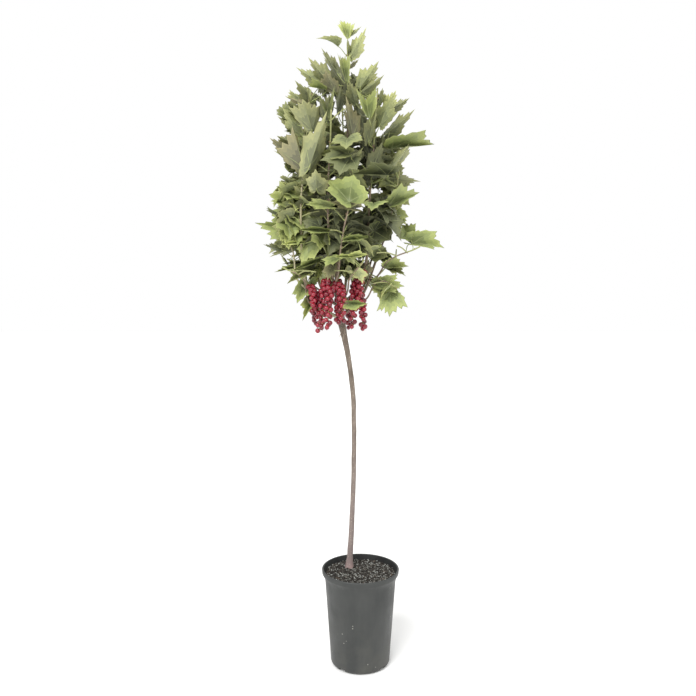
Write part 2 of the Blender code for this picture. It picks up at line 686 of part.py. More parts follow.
def make_bough(crown, row, carrier, carrier_tree, parts):
    """A bough as a tapering tube, turned up as far as it can be without crossing another limb."""
    name = row[0]
    share, heading, tip, lift, radius = row[2:]
    for upward in BOUGH_UPWARD:
        route = limb_route(carrier, carrier_tree, share, heading, tip, lift, radius, upward)
        bough = tube(name, *route, BOUGH_BEVEL, parts, "shoot")
        points = [v.co.copy() for v in bough.data.vertices]
        if crown.free(name, points, [tuple(p.vertices) for p in bough.data.polygons], ()):
            break
        if upward != BOUGH_UPWARD[-1]:
            bpy.data.objects.remove(bough, do_unlink=True)
    return route, bough


def stem_route(bough, tip):
    """Route of a mass's stem, from one clearance past its bough's tip."""
    here, ahead, radius = along(bough, 1.0)
    start = here + ahead * CLEARANCE
    tip = Vector(tip)
    span = (tip - start).length
    end = (tip - start).normalized().lerp(Vector((0.0, 0.0, 1.0)), STEM_UPWARD).normalized()
    collar = start + ahead * radius * COLLAR_LENGTH
    ends = (collar, collar + ahead * span * STEM_SWING, tip - end * span * STEM_SWING, tip)
    points = [start] + [bezier(ends, number / (STEM_POINTS - 2)) for number in range(STEM_POINTS - 1)]
    loss = (radius - STEM_TIP_RADIUS) / (STEM_POINTS - 1)
    return points, [radius - loss * number for number in range(STEM_POINTS)]


def best_sites(route, tip, pitch, length):
    """Sites on a stem for a leaf with that tip and pitch, the best first."""
    found = []
    for step in range(SITE_FIRST, SITE_STEPS + 1):
        here, ahead, radius = along(route, step / SITE_STEPS)
        toward = tip - here
        climb = math.atan2(toward.z, math.hypot(toward.x, toward.y))
        cost = abs(climb - pitch) + SITE_NEARNESS * abs(toward.length - SITE_REACH * length)
        found.append((cost, step, (here, ahead, radius, step == SITE_STEPS)))
    found.sort(key=lambda entry: entry[:2])
    return [entry[2] for entry in found[:SITE_CHOICES]]


def aimed_leaf(crown, name, route, row, length):
    """A leaf whose tip lies at a named place, and its twig where it is far from the stem."""
    tip = Vector(row[:3])
    pitch = math.radians(row[3])
    for size in AIMED_SIZES:
        blade = length * size
        for here in best_sites(route, tip, pitch, length):
            heading = math.atan2(tip.y - here[0].y, tip.x - here[0].x)
            for roll in LEAF_ROLLS:
                axis, upper = blade_frame(heading, pitch, math.radians(row[4]) + roll)
                end = tip - (axis - upper * LEAF_DROOP) * blade
                site = here
                twig = None
                if (end - here[0]).length > length * AIMED_REACH:
                    root = end.lerp(here[0], length * AIMED_PETIOLE / (end - here[0]).length)
                    arch = Vector((0.0, 0.0, TWIG_ARCH * (root - here[0]).length))
                    middle = here[0].lerp(root, 0.5) + arch
                    twig = [here[0], middle, root]
                    site = (root, (root - middle).normalized(), TWIG_TIP_RADIUS, True)
                found = check_leaf(crown, name, site, end, axis, upper, blade, False)
                if found and (twig is None or twig_is_free(crown, name, twig, here)):
                    return found, twig
    return None, None


def twig_is_free(crown, name, twig, site):
    """Whether a twig crosses nothing once it is out of its stem."""
    root = clear_of_root(site, twig[1], TWIG_ROOT_RADIUS)
    if (root - twig[0]).length > TWIG_HIDDEN * (twig[1] - twig[0]).length:
        return False
    wide = twig_shape([root, twig[1], twig[2]], [TEST_SWELL * TWIG_ROOT_RADIUS] * 3)
    whole = twig_shape(twig, TWIG_RADII)
    return crown.free(name, *wide, ("blade", "twig")) and crown.free(name, *whole, ())


def free_twig(crown, dice, name, route, heading, share, length):
    """A twig from the stem that keeps to its mass's space, or None."""
    here, ahead, radius = along(route, share)
    for attempt in range(TWIG_TRIES):
        reach = length * dice.uniform(*TWIG_SIZES) * ROOM_STEP ** (attempt // 3)
        turn = heading + dice.uniform(-TWIG_SPREAD, TWIG_SPREAD)
        lift = TWIG_LIFT[0] * leaf_pitch(here.z) + dice.uniform(0.0, TWIG_LIFT[1])
        end = here + aim(turn, lift) * reach
        middle = here.lerp(end, 0.5) + Vector((0.0, 0.0, TWIG_ARCH * reach))
        twig = [here, middle, end]
        inside = inside_crown(end) and crown.owns(name, [end])
        if inside and twig_is_free(crown, name, twig, (here, ahead, radius, False)):
            return twig
    return None


def note_twig(crown, name, twigs, twig):
    """Add a twig to its mass, and to what later leaves keep clear of."""
    twigs.append(twig)
    points, faces = twig_shape(twig, TWIG_RADII)
    crown.add(name, "twig", points, faces)


def grow_mass(crown, row, route):
    """Leaves and twigs of one mass: its furthest tips first, then a spiral up its stem and twigs."""
    name = row[0]
    seed, wanted, length, tips = row[3:]
    dice = random.Random(seed)
    leaves = []
    twigs = []
    for place in tips:
        found, twig = aimed_leaf(crown, name, route, place, length)
        if not found:
            continue
        leaves.append(found)
        crown.add(name, "blade", *found)
        if twig:
            note_twig(crown, name, twigs, twig)
    heading = dice.uniform(0.0, math.tau)
    for number in range(TWIGS_PER_MASS):
        heading += GOLDEN_ANGLE
        low, high = TWIG_PLACES
        share = low + (high - low) * (number + 0.5) / TWIGS_PER_MASS
        twig = free_twig(crown, dice, name, route, heading, share, TWIG_LENGTH)
        if twig:
            note_twig(crown, name, twigs, twig)
    sites = []
    for number in range(wanted):
        share = FIRST_LEAF + (1.0 - FIRST_LEAF) * number / (wanted - 1)
        scale = 1.0 if share < YOUNG_FROM else YOUNG_SCALE
        sites.append(((*along(route, share), number == wanted - 1), scale))
    for twig in twigs:
        for share in TWIG_SITES:
            sites.append(((*along((twig, TWIG_RADII), share), share == TWIG_SITES[-1]), YOUNG_SCALE))
    for site, scale in sites:
        heading += GOLDEN_ANGLE
        found = spiral_leaf(crown, dice, name, site, heading, length * scale)
        if found:
            leaves.append(found)
            crown.add(name, "blade", *found)
    return leaves, twigs


def spiral_leaf(crown, dice, name, site, heading, length):
    """A leaf at a site, turned and made smaller until it has room, or None."""
    for attempt in range(LEAF_TRIES):
        size = length * dice.uniform(*LEAF_SIZES) * ROOM_STEP ** (attempt // 5)
        turn = heading + dice.uniform(-HEADING_SPREAD, HEADING_SPREAD) * (1 + attempt // 3)
        pitch = leaf_pitch(site[0].z + PITCH_ABOVE) + dice.uniform(-PITCH_SPREAD, PITCH_SPREAD)
        roll = dice.uniform(-ROLL_SPREAD, ROLL_SPREAD)
        axis, upper = blade_frame(turn, pitch, roll)
        petiole = size * PETIOLE_SHARE * dice.uniform(*PETIOLE_SIZES)
        end = site[0] + aim(turn, pitch + PETIOLE_RISE) * petiole
        found = check_leaf(crown, name, site, end, axis, upper, size, True)
        if found:
            return found
    return None


def largest_body(mesh):
    """Keep a mesh's one outer body: drop loose scraps and the walls of sealed hollows."""
    shape = bmesh.new()
    shape.from_mesh(mesh)
    bmesh.ops.remove_doubles(shape, verts=shape.verts, dist=1e-7)
    shape.faces.ensure_lookup_table()
    seen = set()
    bodies = []
    for face in shape.faces:
        if face.index in seen:
            continue
        body = []
        stack = [face]
        seen.add(face.index)
        while stack:
            current = stack.pop()
            body.append(current)
            for edge in current.edges:
                for other in edge.link_faces:
                    if other.index not in seen:
                        seen.add(other.index)
                        stack.append(other)
        bodies.append(body)
    bodies.sort(key=len, reverse=True)
    extra = [face for body in bodies[1:] for face in body]
    bmesh.ops.delete(shape, geom=extra, context="FACES")
    bmesh.ops.triangulate(shape, faces=shape.faces)
    shape.to_mesh(mesh)
    shape.free()


def fuse(base, helpers):
    """Join a collection of closed solids to a base with one Boolean union, and remove them."""
    join = base.modifiers.new("join", "BOOLEAN")
    join.operation = "UNION"
    join.operand_type = "COLLECTION"
    join.collection = helpers
    join.solver = "MANIFOLD"
    graph = bpy.context.evaluated_depsgraph_get()
    mesh = bpy.data.meshes.new_from_object(base.evaluated_get(graph))
    base.modifiers.clear()
    finish = base.data.materials[0]
    base.data = mesh
    mesh.materials.clear()
    mesh.materials.append(finish)
    for polygon in mesh.polygons:
        polygon.material_index = 0
    for helper in list(helpers.objects):
        bpy.data.objects.remove(helper, do_unlink=True)
    bpy.data.collections.remove(helpers)
    largest_body(mesh)


def make_mass(crown, row, route, parts):
    """One mass of foliage: its stem, twigs and leaves fused to one solid."""
    name = row[0]
    leaves, twigs = grow_mass(crown, row, route)
    stem = tube(name, route[0], route[1], STEM_BEVEL, parts, "leaf")
    helpers = new_collection(name + "_helpers")
    for number, twig in enumerate(twigs):
        mesh = mesh_from(name, *twig_shape(twig, TWIG_RADII))
        add_mesh(name + "_twig_" + str(number), mesh, helpers, "leaf")
    for number, (points, faces) in enumerate(leaves):
        add_mesh(name + "_leaf_" + str(number), mesh_from(name, points, faces), helpers, "leaf")
    fuse(stem, helpers)


def truss_route(carrier, carrier_tree, share, heading, length):
    """Route of a truss's stalk: out of its bough, over and straight down."""
    here, ahead, width = along(carrier, share)
    heading = math.radians(heading)
    leave = aim(heading, 0.0)
    leave = (leave - ahead * leave.dot(ahead)).normalized()
    start = seat_on(carrier_tree, here + leave * (width + 4 * STRIG_RADIUS), leave, STRIG_RADIUS)
    start = seat_on(carrier_tree, start, leave, STRIG_RADIUS)
    out = aim(heading, 0.0) * STRIG_REACH
    drop = Vector((0.0, 0.0, -length))
    ends = (start, start + leave * STRIG_REACH, start + out + drop * STRIG_SWING, start + out + drop)
    points = [bezier(ends, number / (STRIG_POINTS - 1)) for number in range(STRIG_POINTS)]
    return points, [STRIG_RADIUS] * STRIG_POINTS


def make_truss(crown, number, row, carrier, carrier_tree, parts):
    """One hanging truss: a thin stalk with berries fused round it."""
    bough, share, heading, length = row
    name = "currants_" + str(number + 1)
    for turn in TRUSS_TURNS:
        route = truss_route(carrier, carrier_tree, share, heading + turn, length)
        points, faces = twig_shape(route[0][1:], [TRUSS_ROOM] * (STRIG_POINTS - 1))
        if crown.free(name, points, faces, ()):
            break
    stalk = add_mesh(name, mesh_from(name, *twig_shape(*route)), parts, "berry")
    helpers = new_collection(name + "_helpers")
    berries = round((1.0 - STRIG_BARE) * length / BERRY_STEP) + 1
    for berry in range(berries):
        place = STRIG_BARE + (1.0 - STRIG_BARE) * berry / (berries - 1)
        here, ahead = along(route, place)[:2]
        radius = BERRY_RADIUS * (1.0 - BERRY_TAPER * place)
        side = aim(berry * GOLDEN_ANGLE + number, 0.0)
        side = (side - ahead * side.dot(ahead)).normalized()
        middle = here + side * (radius * BERRY_OFFSET if berry < berries - 1 else 0.0)
        shape = bmesh.new()
        bmesh.ops.create_icosphere(shape, subdivisions=1, radius=radius)
        bmesh.ops.translate(shape, verts=shape.verts, vec=middle)
        points = [v.co.copy() for v in shape.verts]
        faces = [tuple(v.index for v in f.verts) for f in shape.faces]
        shape.free()
        grown = [middle + (p - middle) * BERRY_ROOM for p in points]
        if crown.free(name, grown, faces, ()):
            add_mesh(name + "_berry_" + str(berry), mesh_from(name, points, faces), helpers, "berry")
    fuse(stalk, helpers)
    crown.add_object(name, "limb", stalk)


def main():
    """Build the whole plant in its pot."""
    clear_scene()
    parts = new_collection(COLLECTION)
    cutters = new_collection("cutters")
    make_pot(parts, cutters)
    make_soil(parts)
    crown = Crown()
    routes = {"trunk": trunk_route()}
    trees = {}
    trunk = tube("trunk", *routes["trunk"], TRUNK_BEVEL, parts, "bark")
    trees["trunk"] = tree_of(trunk)
    crown.add_object("trunk", "limb", trunk)
    for row in BOUGHS:
        name = row[0]
        routes[name], bough = make_bough(crown, row, routes[row[1]], trees[row[1]], parts)
        trees[name] = tree_of(bough)
        crown.add_object(name, "limb", bough)
    for number, row in enumerate(TRUSSES):
        make_truss(crown, number, row, routes[row[0]], trees[row[0]], parts)
    stems = {}
    for row in MASSES:
        stems[row[0]] = stem_route(routes[row[1]], row[2])
        crown.claim(row[0], stems[row[0]][0])
        for tip in row[6]:
            here = best_sites(stems[row[0]], Vector(tip[:3]), math.radians(tip[3]), row[5])[0][0]
            crown.claim(row[0], [here, Vector(tip[:3])])
        guide = tube(row[0] + "_stem", *stems[row[0]], BOUGH_BEVEL, parts, "leaf")
        crown.add_object(row[0], "twig", guide)
        bpy.data.objects.remove(guide, do_unlink=True)
    for row in MASSES:
        make_mass(crown, row, stems[row[0]], parts)


main()
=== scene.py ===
# Redcurrant grown as a small standard in a round nursery pot: its finished surfaces.
# Metres, +Z up. The origin is the middle of the pot's flat underside and -Y is the front.
import math
import random
from collections import namedtuple

import bpy
import bmesh
import numpy as np
from mathutils import Matrix, Vector, noise
from mathutils.bvhtree import BVHTree


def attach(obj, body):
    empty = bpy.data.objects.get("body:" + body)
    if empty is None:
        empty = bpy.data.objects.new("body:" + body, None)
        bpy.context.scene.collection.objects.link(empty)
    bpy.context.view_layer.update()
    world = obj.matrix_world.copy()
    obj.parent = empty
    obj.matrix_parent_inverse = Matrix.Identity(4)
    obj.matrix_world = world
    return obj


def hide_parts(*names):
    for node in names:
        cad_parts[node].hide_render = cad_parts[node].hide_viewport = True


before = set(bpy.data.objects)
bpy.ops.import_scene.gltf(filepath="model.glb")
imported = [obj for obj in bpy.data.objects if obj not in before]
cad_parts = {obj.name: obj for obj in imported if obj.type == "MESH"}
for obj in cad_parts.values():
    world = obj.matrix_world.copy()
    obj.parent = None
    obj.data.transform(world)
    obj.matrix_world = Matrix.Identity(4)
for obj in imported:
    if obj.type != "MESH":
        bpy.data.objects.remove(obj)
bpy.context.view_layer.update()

# A leaf is the site of its stalk, its blade's start, axis, upper direction and length, and, where it is
# read and not grown, its tint, the tips of its side lobes, and how much of its base is missing
Leaf = namedtuple("Leaf", "site end axis upper length tint lobes missing")

MILLIMETRES = 1000.0
SAME_PLACE = 1e-6

# Pot
POT_HEIGHT = 0.219
LIP_RADIUS = 0.085
LIP_HEIGHT = 0.010
SHOULDER_RADIUS = 0.0787
FOOT_RADIUS = 0.0655
FOOT_ROUND = 0.010
POT_WALL = 0.0016
LIP_WALL = 0.0042
LIP_ROUND = 0.0012
NOTCH_COUNT = 4
NOTCH_ANGLE = math.radians(-40.0)
NOTCH_WIDTH = 0.019
NOTCH_HEIGHT = 0.0080
NOTCH_DEPTH = 0.0160
NOTCH_ROUND = 0.0012

# Clearance between parts, how a limb's end is brought to it, and the soil's depth below the rim
CLEARANCE = 0.0003
SEAT_MARGIN = 0.0001
SEAT_PASSES = 2
RIM_STEPS = 6
SOIL_BELOW_RIM = 0.0115

# Trunk stations: height over the pot's underside, lean in X, lean in Y, diameter
TRUNK_FOOT = (-0.0240, 0.0320)
TRUNK_STATIONS = (
    (0.0000, 0.0000, 0.0000, 0.0185), (0.0080, 0.0002, -0.0002, 0.0160),
    (0.0300, 0.0012, -0.0010, 0.0128), (0.1000, 0.0050, -0.0045, 0.0112),
    (0.2100, 0.0090, -0.0105, 0.0104), (0.3100, 0.0100, -0.0165, 0.0100),
    (0.4000, 0.0080, -0.0215, 0.0104), (0.4800, -0.0020, -0.0265, 0.0112),
    (0.5350, -0.0130, -0.0295, 0.0138), (0.5720, -0.0200, -0.0310, 0.0172),
    (0.5950, -0.0235, -0.0318, 0.0180), (0.6080, -0.0250, -0.0320, 0.0150),
)
TRUNK_POINTS = 22
TRUNK_CROWDING = 1.35
TRUNK_BEVEL = 2

# Boughs: carrier, place along it (0 to 1), heading in degrees, tip, lift at the tip, radius
BOUGHS = (
    ("bough_centre", "trunk", 1.00, 60, (-0.036, 0.010, 1.000), 85, 0.0042),
    ("bough_left", "trunk", 0.955, 205, (-0.122, -0.058, 0.945), 88, 0.0040),
    ("bough_front", "trunk", 0.985, 262, (-0.066, -0.058, 0.940), 84, 0.0038),
    ("bough_right", "trunk", 0.985, 325, (0.014, -0.032, 0.960), 88, 0.0040),
    ("bough_right_low", "trunk", 0.960, 12, (0.040, 0.008, 0.915), 66, 0.0036),
    ("bough_back", "trunk", 0.970, 78, (-0.030, 0.078, 0.925), 84, 0.0038),
    ("bough_back_left", "trunk", 0.985, 140, (-0.104, 0.062, 0.905), 72, 0.0036),
    ("bough_back_right", "bough_back", 0.26, 25, (0.030, 0.076, 0.915), 66, 0.0030),
    ("side_left", "bough_left", 0.55, 165, (-0.150, -0.024, 0.935), 55, 0.0024),
    ("side_left_low", "bough_left", 0.34, 215, (-0.124, -0.075, 0.866), 20, 0.0022),
    ("side_front", "bough_front", 0.52, 285, (-0.040, -0.102, 0.935), 60, 0.0024),
    ("side_front_low", "bough_front", 0.26, 300, (-0.020, -0.088, 0.868), 22, 0.0022),
    ("side_right", "bough_right_low", 0.66, 330, (0.064, -0.030, 0.900), 18, 0.0022),
    ("side_right_low", "bough_right_low", 0.34, 350, (0.040, -0.024, 0.852), 5, 0.0020),
    ("side_back_low", "bough_back", 0.42, 110, (-0.050, 0.112, 0.880), 30, 0.0022),
    ("side_back_left_low", "bough_back_left", 0.46, 170, (-0.124, 0.050, 0.880), 15, 0.0022),
)
LIMB_POINTS = 7
BOUGH_TAPER = 0.62
BOUGH_BEVEL = 1
BOUGH_SWING = 0.42
BOUGH_UPWARD = (0.35, 0.20, 0.08, 0.0)
BOUGH_CROTCH = math.radians(18.0)
BOUGH_SQUARENESS = 0.8
BOUGH_OFF = 3
COLLAR_LENGTH = 1.3

# Masses: bough, end of its stem, seed, leaves up the stem, blade length, and its furthest leaves,
# each as its tip with the blade's pitch and roll in degrees
MASSES = (
    ("leaves_top", "bough_centre", (-0.028, 0.000, 1.335), 11, 16, 0.046,
     ((-0.026, 0.000, 1.378, 75, 20), (-0.090, -0.010, 1.334, 8, -6), (0.013, -0.012, 1.354, 60, 12),
      (-0.078, -0.020, 1.318, 48, 0), (-0.030, -0.050, 1.312, 70, 0), (-0.020, 0.062, 1.300, 60, 0),
      (0.020, 0.030, 1.300, 50, 0))),
    ("leaves_upper_left", "bough_left", (-0.102, -0.042, 1.235), 23, 12, 0.053,
     ((-0.129, -0.030, 1.280, 18, -30), (-0.152, -0.010, 1.225, 15, -20), (-0.163, -0.030, 1.180, 25, -20),
      (-0.177, -0.050, 1.128, 25, -30), (-0.104, -0.040, 1.300, 45, 0),
      (-0.108, -0.125, 1.140, 62, 0), (-0.195, -0.070, 0.985, 12, -45))),
    ("leaves_upper_front", "bough_front", (-0.060, -0.090, 1.190), 31, 12, 0.054,
     ((-0.066, -0.132, 1.172, 74, 20), (-0.088, -0.130, 1.235, 50, 0), (-0.025, -0.140, 1.190, 58, 0),
      (-0.050, -0.105, 1.262, 70, 0), (-0.078, -0.150, 1.060, 40, 30))),
    ("leaves_upper_right", "bough_right", (0.032, -0.030, 1.240), 47, 12, 0.054,
     ((0.024, -0.020, 1.290, 62, 20), (0.043, -0.045, 1.252, 40, 0), (0.097, -0.030, 1.220, 35, 20),
      (0.040, -0.080, 1.240, 60, 0), (0.108, -0.020, 1.190, 32, 20), (0.080, -0.060, 1.170, 50, 0),
      (0.000, -0.090, 1.200, 64, 0))),
    ("leaves_upper_back", "bough_back", (-0.040, 0.100, 1.225), 53, 12, 0.058,
     ((-0.045, 0.105, 1.290, 70, 0), (-0.110, 0.115, 1.210, 40, 0), (0.030, 0.120, 1.220, 40, 0),
      (-0.030, 0.160, 1.165, 55, 0), (-0.060, 0.165, 1.080, 40, 0))),
    ("leaves_left", "side_left", (-0.160, -0.014, 1.045), 61, 10, 0.054,
     ((-0.193, -0.020, 1.038, 8, -20), (-0.220, -0.045, 0.962, 8, -35), (-0.198, -0.035, 0.920, 0, -30))),
    ("leaves_right", "bough_right_low", (0.086, 0.004, 1.120), 73, 12, 0.056,
     ((0.153, -0.020, 1.134, 5, 15), (0.125, -0.015, 1.066, 2, 15), (0.123, -0.045, 1.041, 25, 25),
      (0.085, -0.035, 1.125, 55, 20),
      (0.100, 0.050, 1.110, 35, 0), (0.085, -0.055, 0.990, 15, 35),
      (0.085, 0.000, 1.200, 65, 0))),
    ("leaves_front", "side_front", (-0.012, -0.128, 1.060), 83, 10, 0.055,
     ((-0.040, -0.185, 1.045, 15, 20), (0.030, -0.160, 1.075, 30, 0), (0.057, -0.115, 1.016, 5, 15),
      (-0.020, -0.150, 1.120, 60, 0), (0.030, -0.150, 1.000, 5, 0))),
    ("leaves_back_left", "bough_back_left", (-0.132, 0.092, 1.120), 97, 11, 0.058,
     ((-0.150, 0.090, 1.175, 55, 0), (-0.176, 0.080, 1.050, 20, 0), (-0.120, 0.165, 1.080, 30, 0),
      (-0.185, 0.080, 0.970, 0, 20))),
    ("leaves_back_right", "bough_back_right", (0.062, 0.104, 1.110), 103, 11, 0.058,
     ((0.080, 0.105, 1.180, 60, 0), (0.114, 0.090, 1.060, 15, 0), (0.055, 0.165, 1.080, 35, 0),
      (0.102, 0.120, 0.965, 0, 0))),
    ("leaves_left_low", "side_left_low", (-0.158, -0.080, 0.884), 109, 7, 0.048,
     ((-0.176, -0.070, 0.862, -20, -20), (-0.142, -0.090, 0.842, -32, -30), (-0.120, -0.085, 0.778, -72, 36),
      (-0.135, -0.145, 0.885, -5, 0))),
    ("leaves_front_low", "side_front_low", (0.004, -0.124, 0.900), 127, 7, 0.050,
     ((0.012, -0.180, 0.915, 0, 0), (-0.050, -0.165, 0.895, 0, 10), (0.045, -0.140, 0.900, 5, 0))),
    ("leaves_right_middle", "side_right", (0.120, -0.045, 0.925), 131, 7, 0.048,
     ((0.170, -0.060, 0.908, -18, 50), (0.112, -0.045, 0.950, 0, 40), (0.103, -0.065, 0.890, 8, 30),
      (0.120, 0.005, 0.930, 0, 0))),
    ("leaves_right_low", "side_right_low", (0.072, -0.040, 0.842), 139, 6, 0.050,
     ((0.093, -0.055, 0.845, -10, 40), (0.062, -0.060, 0.775, -62, 20), (0.100, -0.010, 0.845, -5, 0))),
    ("leaves_back_low", "side_back_low", (-0.040, 0.152, 0.905), 149, 9, 0.056,
     ((-0.030, 0.195, 0.900, -5, 0), (0.020, 0.160, 0.860, -15, 0), (-0.090, 0.165, 0.860, -15, 0),
      (-0.050, 0.150, 0.790, -65, 0))),
    ("leaves_back_left_low", "side_back_left_low", (-0.160, 0.074, 0.895), 151, 8, 0.054,
     ((-0.198, 0.080, 0.905, -5, 0), (-0.150, 0.110, 0.830, -40, 0), (-0.150, 0.040, 0.800, -60, 0))),
)
STEM_SWING = 0.35
STEM_UPWARD = 0.15
STEM_TIP_RADIUS = 0.0015
TWIG_ROOT_RADIUS = 0.0017
TWIG_TIP_RADIUS = 0.0014
TWIG_RADII = (TWIG_ROOT_RADIUS, 0.5 * (TWIG_ROOT_RADIUS + TWIG_TIP_RADIUS), TWIG_TIP_RADIUS)
TWIG_UPPER = (0.31, 0.12, 0.95)
TWIG_LENGTH = 0.050
TWIG_ARCH = 0.06
TWIGS_PER_MASS = 2
TWIG_SITES = (0.55, 0.97)
TWIG_TRIES = 12
TWIG_TRIES_PER_SIZE = 3
TWIG_HIDDEN = 0.8
TWIG_SPREAD = 0.6
TWIG_LIFT = (0.55, 0.4)
TWIG_SIZES = (0.75, 1.3)
TWIG_PLACES = (0.15, 0.75)

# Crown outline: height, reach to the left, to the right, and to front or back of its axis
CROWN_AXIS = (-0.030, -0.005)
CROWN_OUTLINE = (
    (0.745, 0.100, 0.100, 0.120), (0.800, 0.100, 0.110, 0.150), (0.850, 0.118, 0.114, 0.180),
    (0.900, 0.132, 0.118, 0.195), (0.975, 0.162, 0.120, 0.198), (1.040, 0.152, 0.122, 0.195),
    (1.085, 0.108, 0.104, 0.185), (1.120, 0.138, 0.118, 0.180), (1.170, 0.126, 0.114, 0.170),
    (1.229, 0.120, 0.102, 0.150), (1.276, 0.092, 0.064, 0.115), (1.300, 0.078, 0.048, 0.095),
    (1.345, 0.045, 0.040, 0.055), (1.380, 0.022, 0.022, 0.025),
)

# Leaves: polar outline about the petiole's end, as degrees from the midrib and share of the length
LEAF_OUTLINE = ((0, 1.00), (25, 0.70), (49, 0.88), (88, 0.58), (120, 0.60))
LEAF_THICKNESS = 0.030
LEAF_FOLD = 0.16
LEAF_DROOP = 0.20
PETIOLE_CORNERS = 6
PETIOLE_RADIUS = 0.0009
PETIOLE_FLATNESS = 0.8
PETIOLE_HIDDEN = 0.7
PETIOLE_SHARE = 0.55
PETIOLE_RISE = math.radians(14.0)
PITCH_BY_HEIGHT = ((0.78, -28.0), (0.88, -2.0), (0.98, 12.0), (1.08, 42.0), (1.20, 58.0), (1.38, 68.0))
FIRST_LEAF = 0.06
YOUNG_FROM = 0.8
YOUNG_SCALE = 0.88
LEAF_SIZES = (0.9, 1.12)
PETIOLE_SIZES = (0.7, 1.2)
HEADING_SPREAD = 0.5
PITCH_ABOVE = 0.02
PITCH_SPREAD = 0.32
ROLL_SPREAD = 0.60
GOLDEN_ANGLE = math.radians(137.5)
LEAF_TRIES = 20
TRIES_PER_SIZE = 5
TRIES_PER_SPREAD = 3
LEAST_SLANT = 0.1
ROOT_MARGIN = 0.0008
TEST_GROWTH = 1.04
TEST_SWELL = 1.6
SPACE_SLACK = 0.030
ROOM_STEP = 0.86
SITE_FIRST = 2
SITE_STEPS = 14
SITE_REACH = 1.6
SITE_CHOICES = 6
SITE_NEARNESS = 6.0
AIMED_SIZES = (1.0, 0.85, 0.7)
AIMED_PETIOLE = 0.5
AIMED_REACH = 0.95
LEAF_ROLLS = (0.0, 0.3, -0.3, 0.7, -0.7, 1.1, -1.1)

# Fruit: bough, place along it, heading in degrees, length of the truss
TRUSSES = (
    ("bough_left", 0.52, 350, 0.080),
    ("bough_left", 0.60, 10, 0.052),
    ("bough_front", 0.60, 195, 0.096),
    ("bough_front", 0.52, 240, 0.086),
    ("bough_front", 0.56, 290, 0.080),
    ("side_front_low", 0.45, 215, 0.060),
    ("bough_right", 0.52, 205, 0.098),
    ("bough_right", 0.62, 215, 0.068),
    ("bough_right", 0.36, 256, 0.076),
    ("bough_back", 0.36, 60, 0.066),
    ("bough_back_left", 0.40, 190, 0.062),
)
TRUSS_TURNS = (0, 12, -12, 24, -24, 40, -40, 60, -60, 80, -80, 110, -110, 140, -140)
TRUSS_ROOM = 0.0072
BERRY_STEP = 0.0104
BERRY_RADIUS = 0.0060
STRIG_RADIUS = 0.0008
STRIG_OFF = 4
STRIG_POINTS = 6
STRIG_REACH = 0.018
STRIG_BARE = 0.26
STRIG_SWING = 0.35
BERRY_OFFSET = 0.78
BERRY_TAPER = 0.16
BERRY_ROOM = 1.12

# Finer growth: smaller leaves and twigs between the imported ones
FINER_SEED = 1000
FINER_TWIGS = 3
FINER_TWIG_LENGTH = 0.040
FINER_SITES = 9
FINER_SCALES = (0.86, 0.68)
FINER_AHEAD = 0.8
FINER_LAST = 0.95
FINER_ON_STEM = (0.2, 0.9)
FINER_ON_TWIG = (0.3, 0.9)

# Leaves of the front: how they are carried, and what the others keep clear of
FRONT_KEPT = -0.020
FRONT_DEPTHS = ((0.75, 0.30), (0.92, 0.50), (1.06, 0.42), (1.16, 0.22), (1.24, 0.04), (1.38, 0.0))
BLADE_MIDDLE = 0.5
HANG_BY_HEIGHT = ((0.80, -8.0), (0.88, -30.0), (0.98, -46.0), (1.04, -40.0), (1.10, -16.0), (1.17, 0.0))
WOOD_PLACES = 14
WOOD_FROM = 0.3
STALK_SHORTEST = 0.014
STALK_LONGEST = 0.058
STALK_LENGTH = 0.042
STALK_RISE_COST = 0.018
STALK_TURN_COST = 0.012
OPENING_MARGIN = 1.5
VIEW_SPOTS = ((0.0, 0.0), (0.25, 0.0), (0.5, 0.0), (0.75, 0.0), (1.0, 0.0), (0.1, 0.4), (0.1, -0.4),
              (0.4, 0.35), (0.4, -0.35), (0.6, 0.6), (0.6, -0.6), (0.0, 0.55), (0.0, -0.55))

# Leaves that fill the inside and the back
INNER_SEED = 77
INNER_SITES = 20
INNER_TRIES = 12
INNER_ON_STEM = (0.1, 0.9)
INNER_LENGTH = 0.054
INNER_FROM = 0.30
INNER_SIZES = (0.70, 1.05)
INNER_STALKS = (0.7, 1.6)
INNER_APART = 0.014
INNER_LOW = 0.93
INNER_BEHIND = 0.03
INNER_HIGH = 1.24

# Leaf blades: main veins and the blade's back, as degrees from the midrib, teeth between them, and the
# edge's outline as degrees and share of the length
BLADE_VEINS = (0.0, 49.0, 104.0)
BLADE_BACK = 160.0
BLADE_TEETH = (3, 3, 3)
TOOTH_DEPTH = 0.088
TOOTH_SHARES = (0.55, 1.15)
BLADE_FOLD = (0.20, 1.45)
BLADE_CLOSING = (0.15, 0.62)
BLADE_CHANCE = 0.2
BLADE_SPREAD = (0.96, 0.72)
BLADE_BASE_LOSS = 0.38
BLADE_OPEN = 1.37
BLADE_LOBE = 0.91
BLADE_OUTLINE = ((0, 1.06), (7, 0.96), (15, 0.84), (25, 0.75), (33, 0.77), (41, 0.86), (49, 0.93),
                 (56, 0.83), (65, 0.71), (78, 0.61), (90, 0.62), (104, 0.64), (116, 0.60), (128, 0.52),
                 (142, 0.41), (152, 0.29), (160, 0.12))
BLADE_RINGS = (0.28, 0.52, 0.76, 0.93, 1.0)
# Ring by ring, the painted tone of the blade's faces: shade at the root, light at the rim
BLADE_PAINTED_TONES = (0, 0, 1, 2, 3)
PAINTED_RIM_TONE = 3
PIECE_POINTS = 80000
BLADE_THICKNESS = 0.0005
BLADE_SEED = 21
VEIN_WIDTH = 0.013
VEIN_RELIEF = 0.012
VEIN_TAPER = 0.93
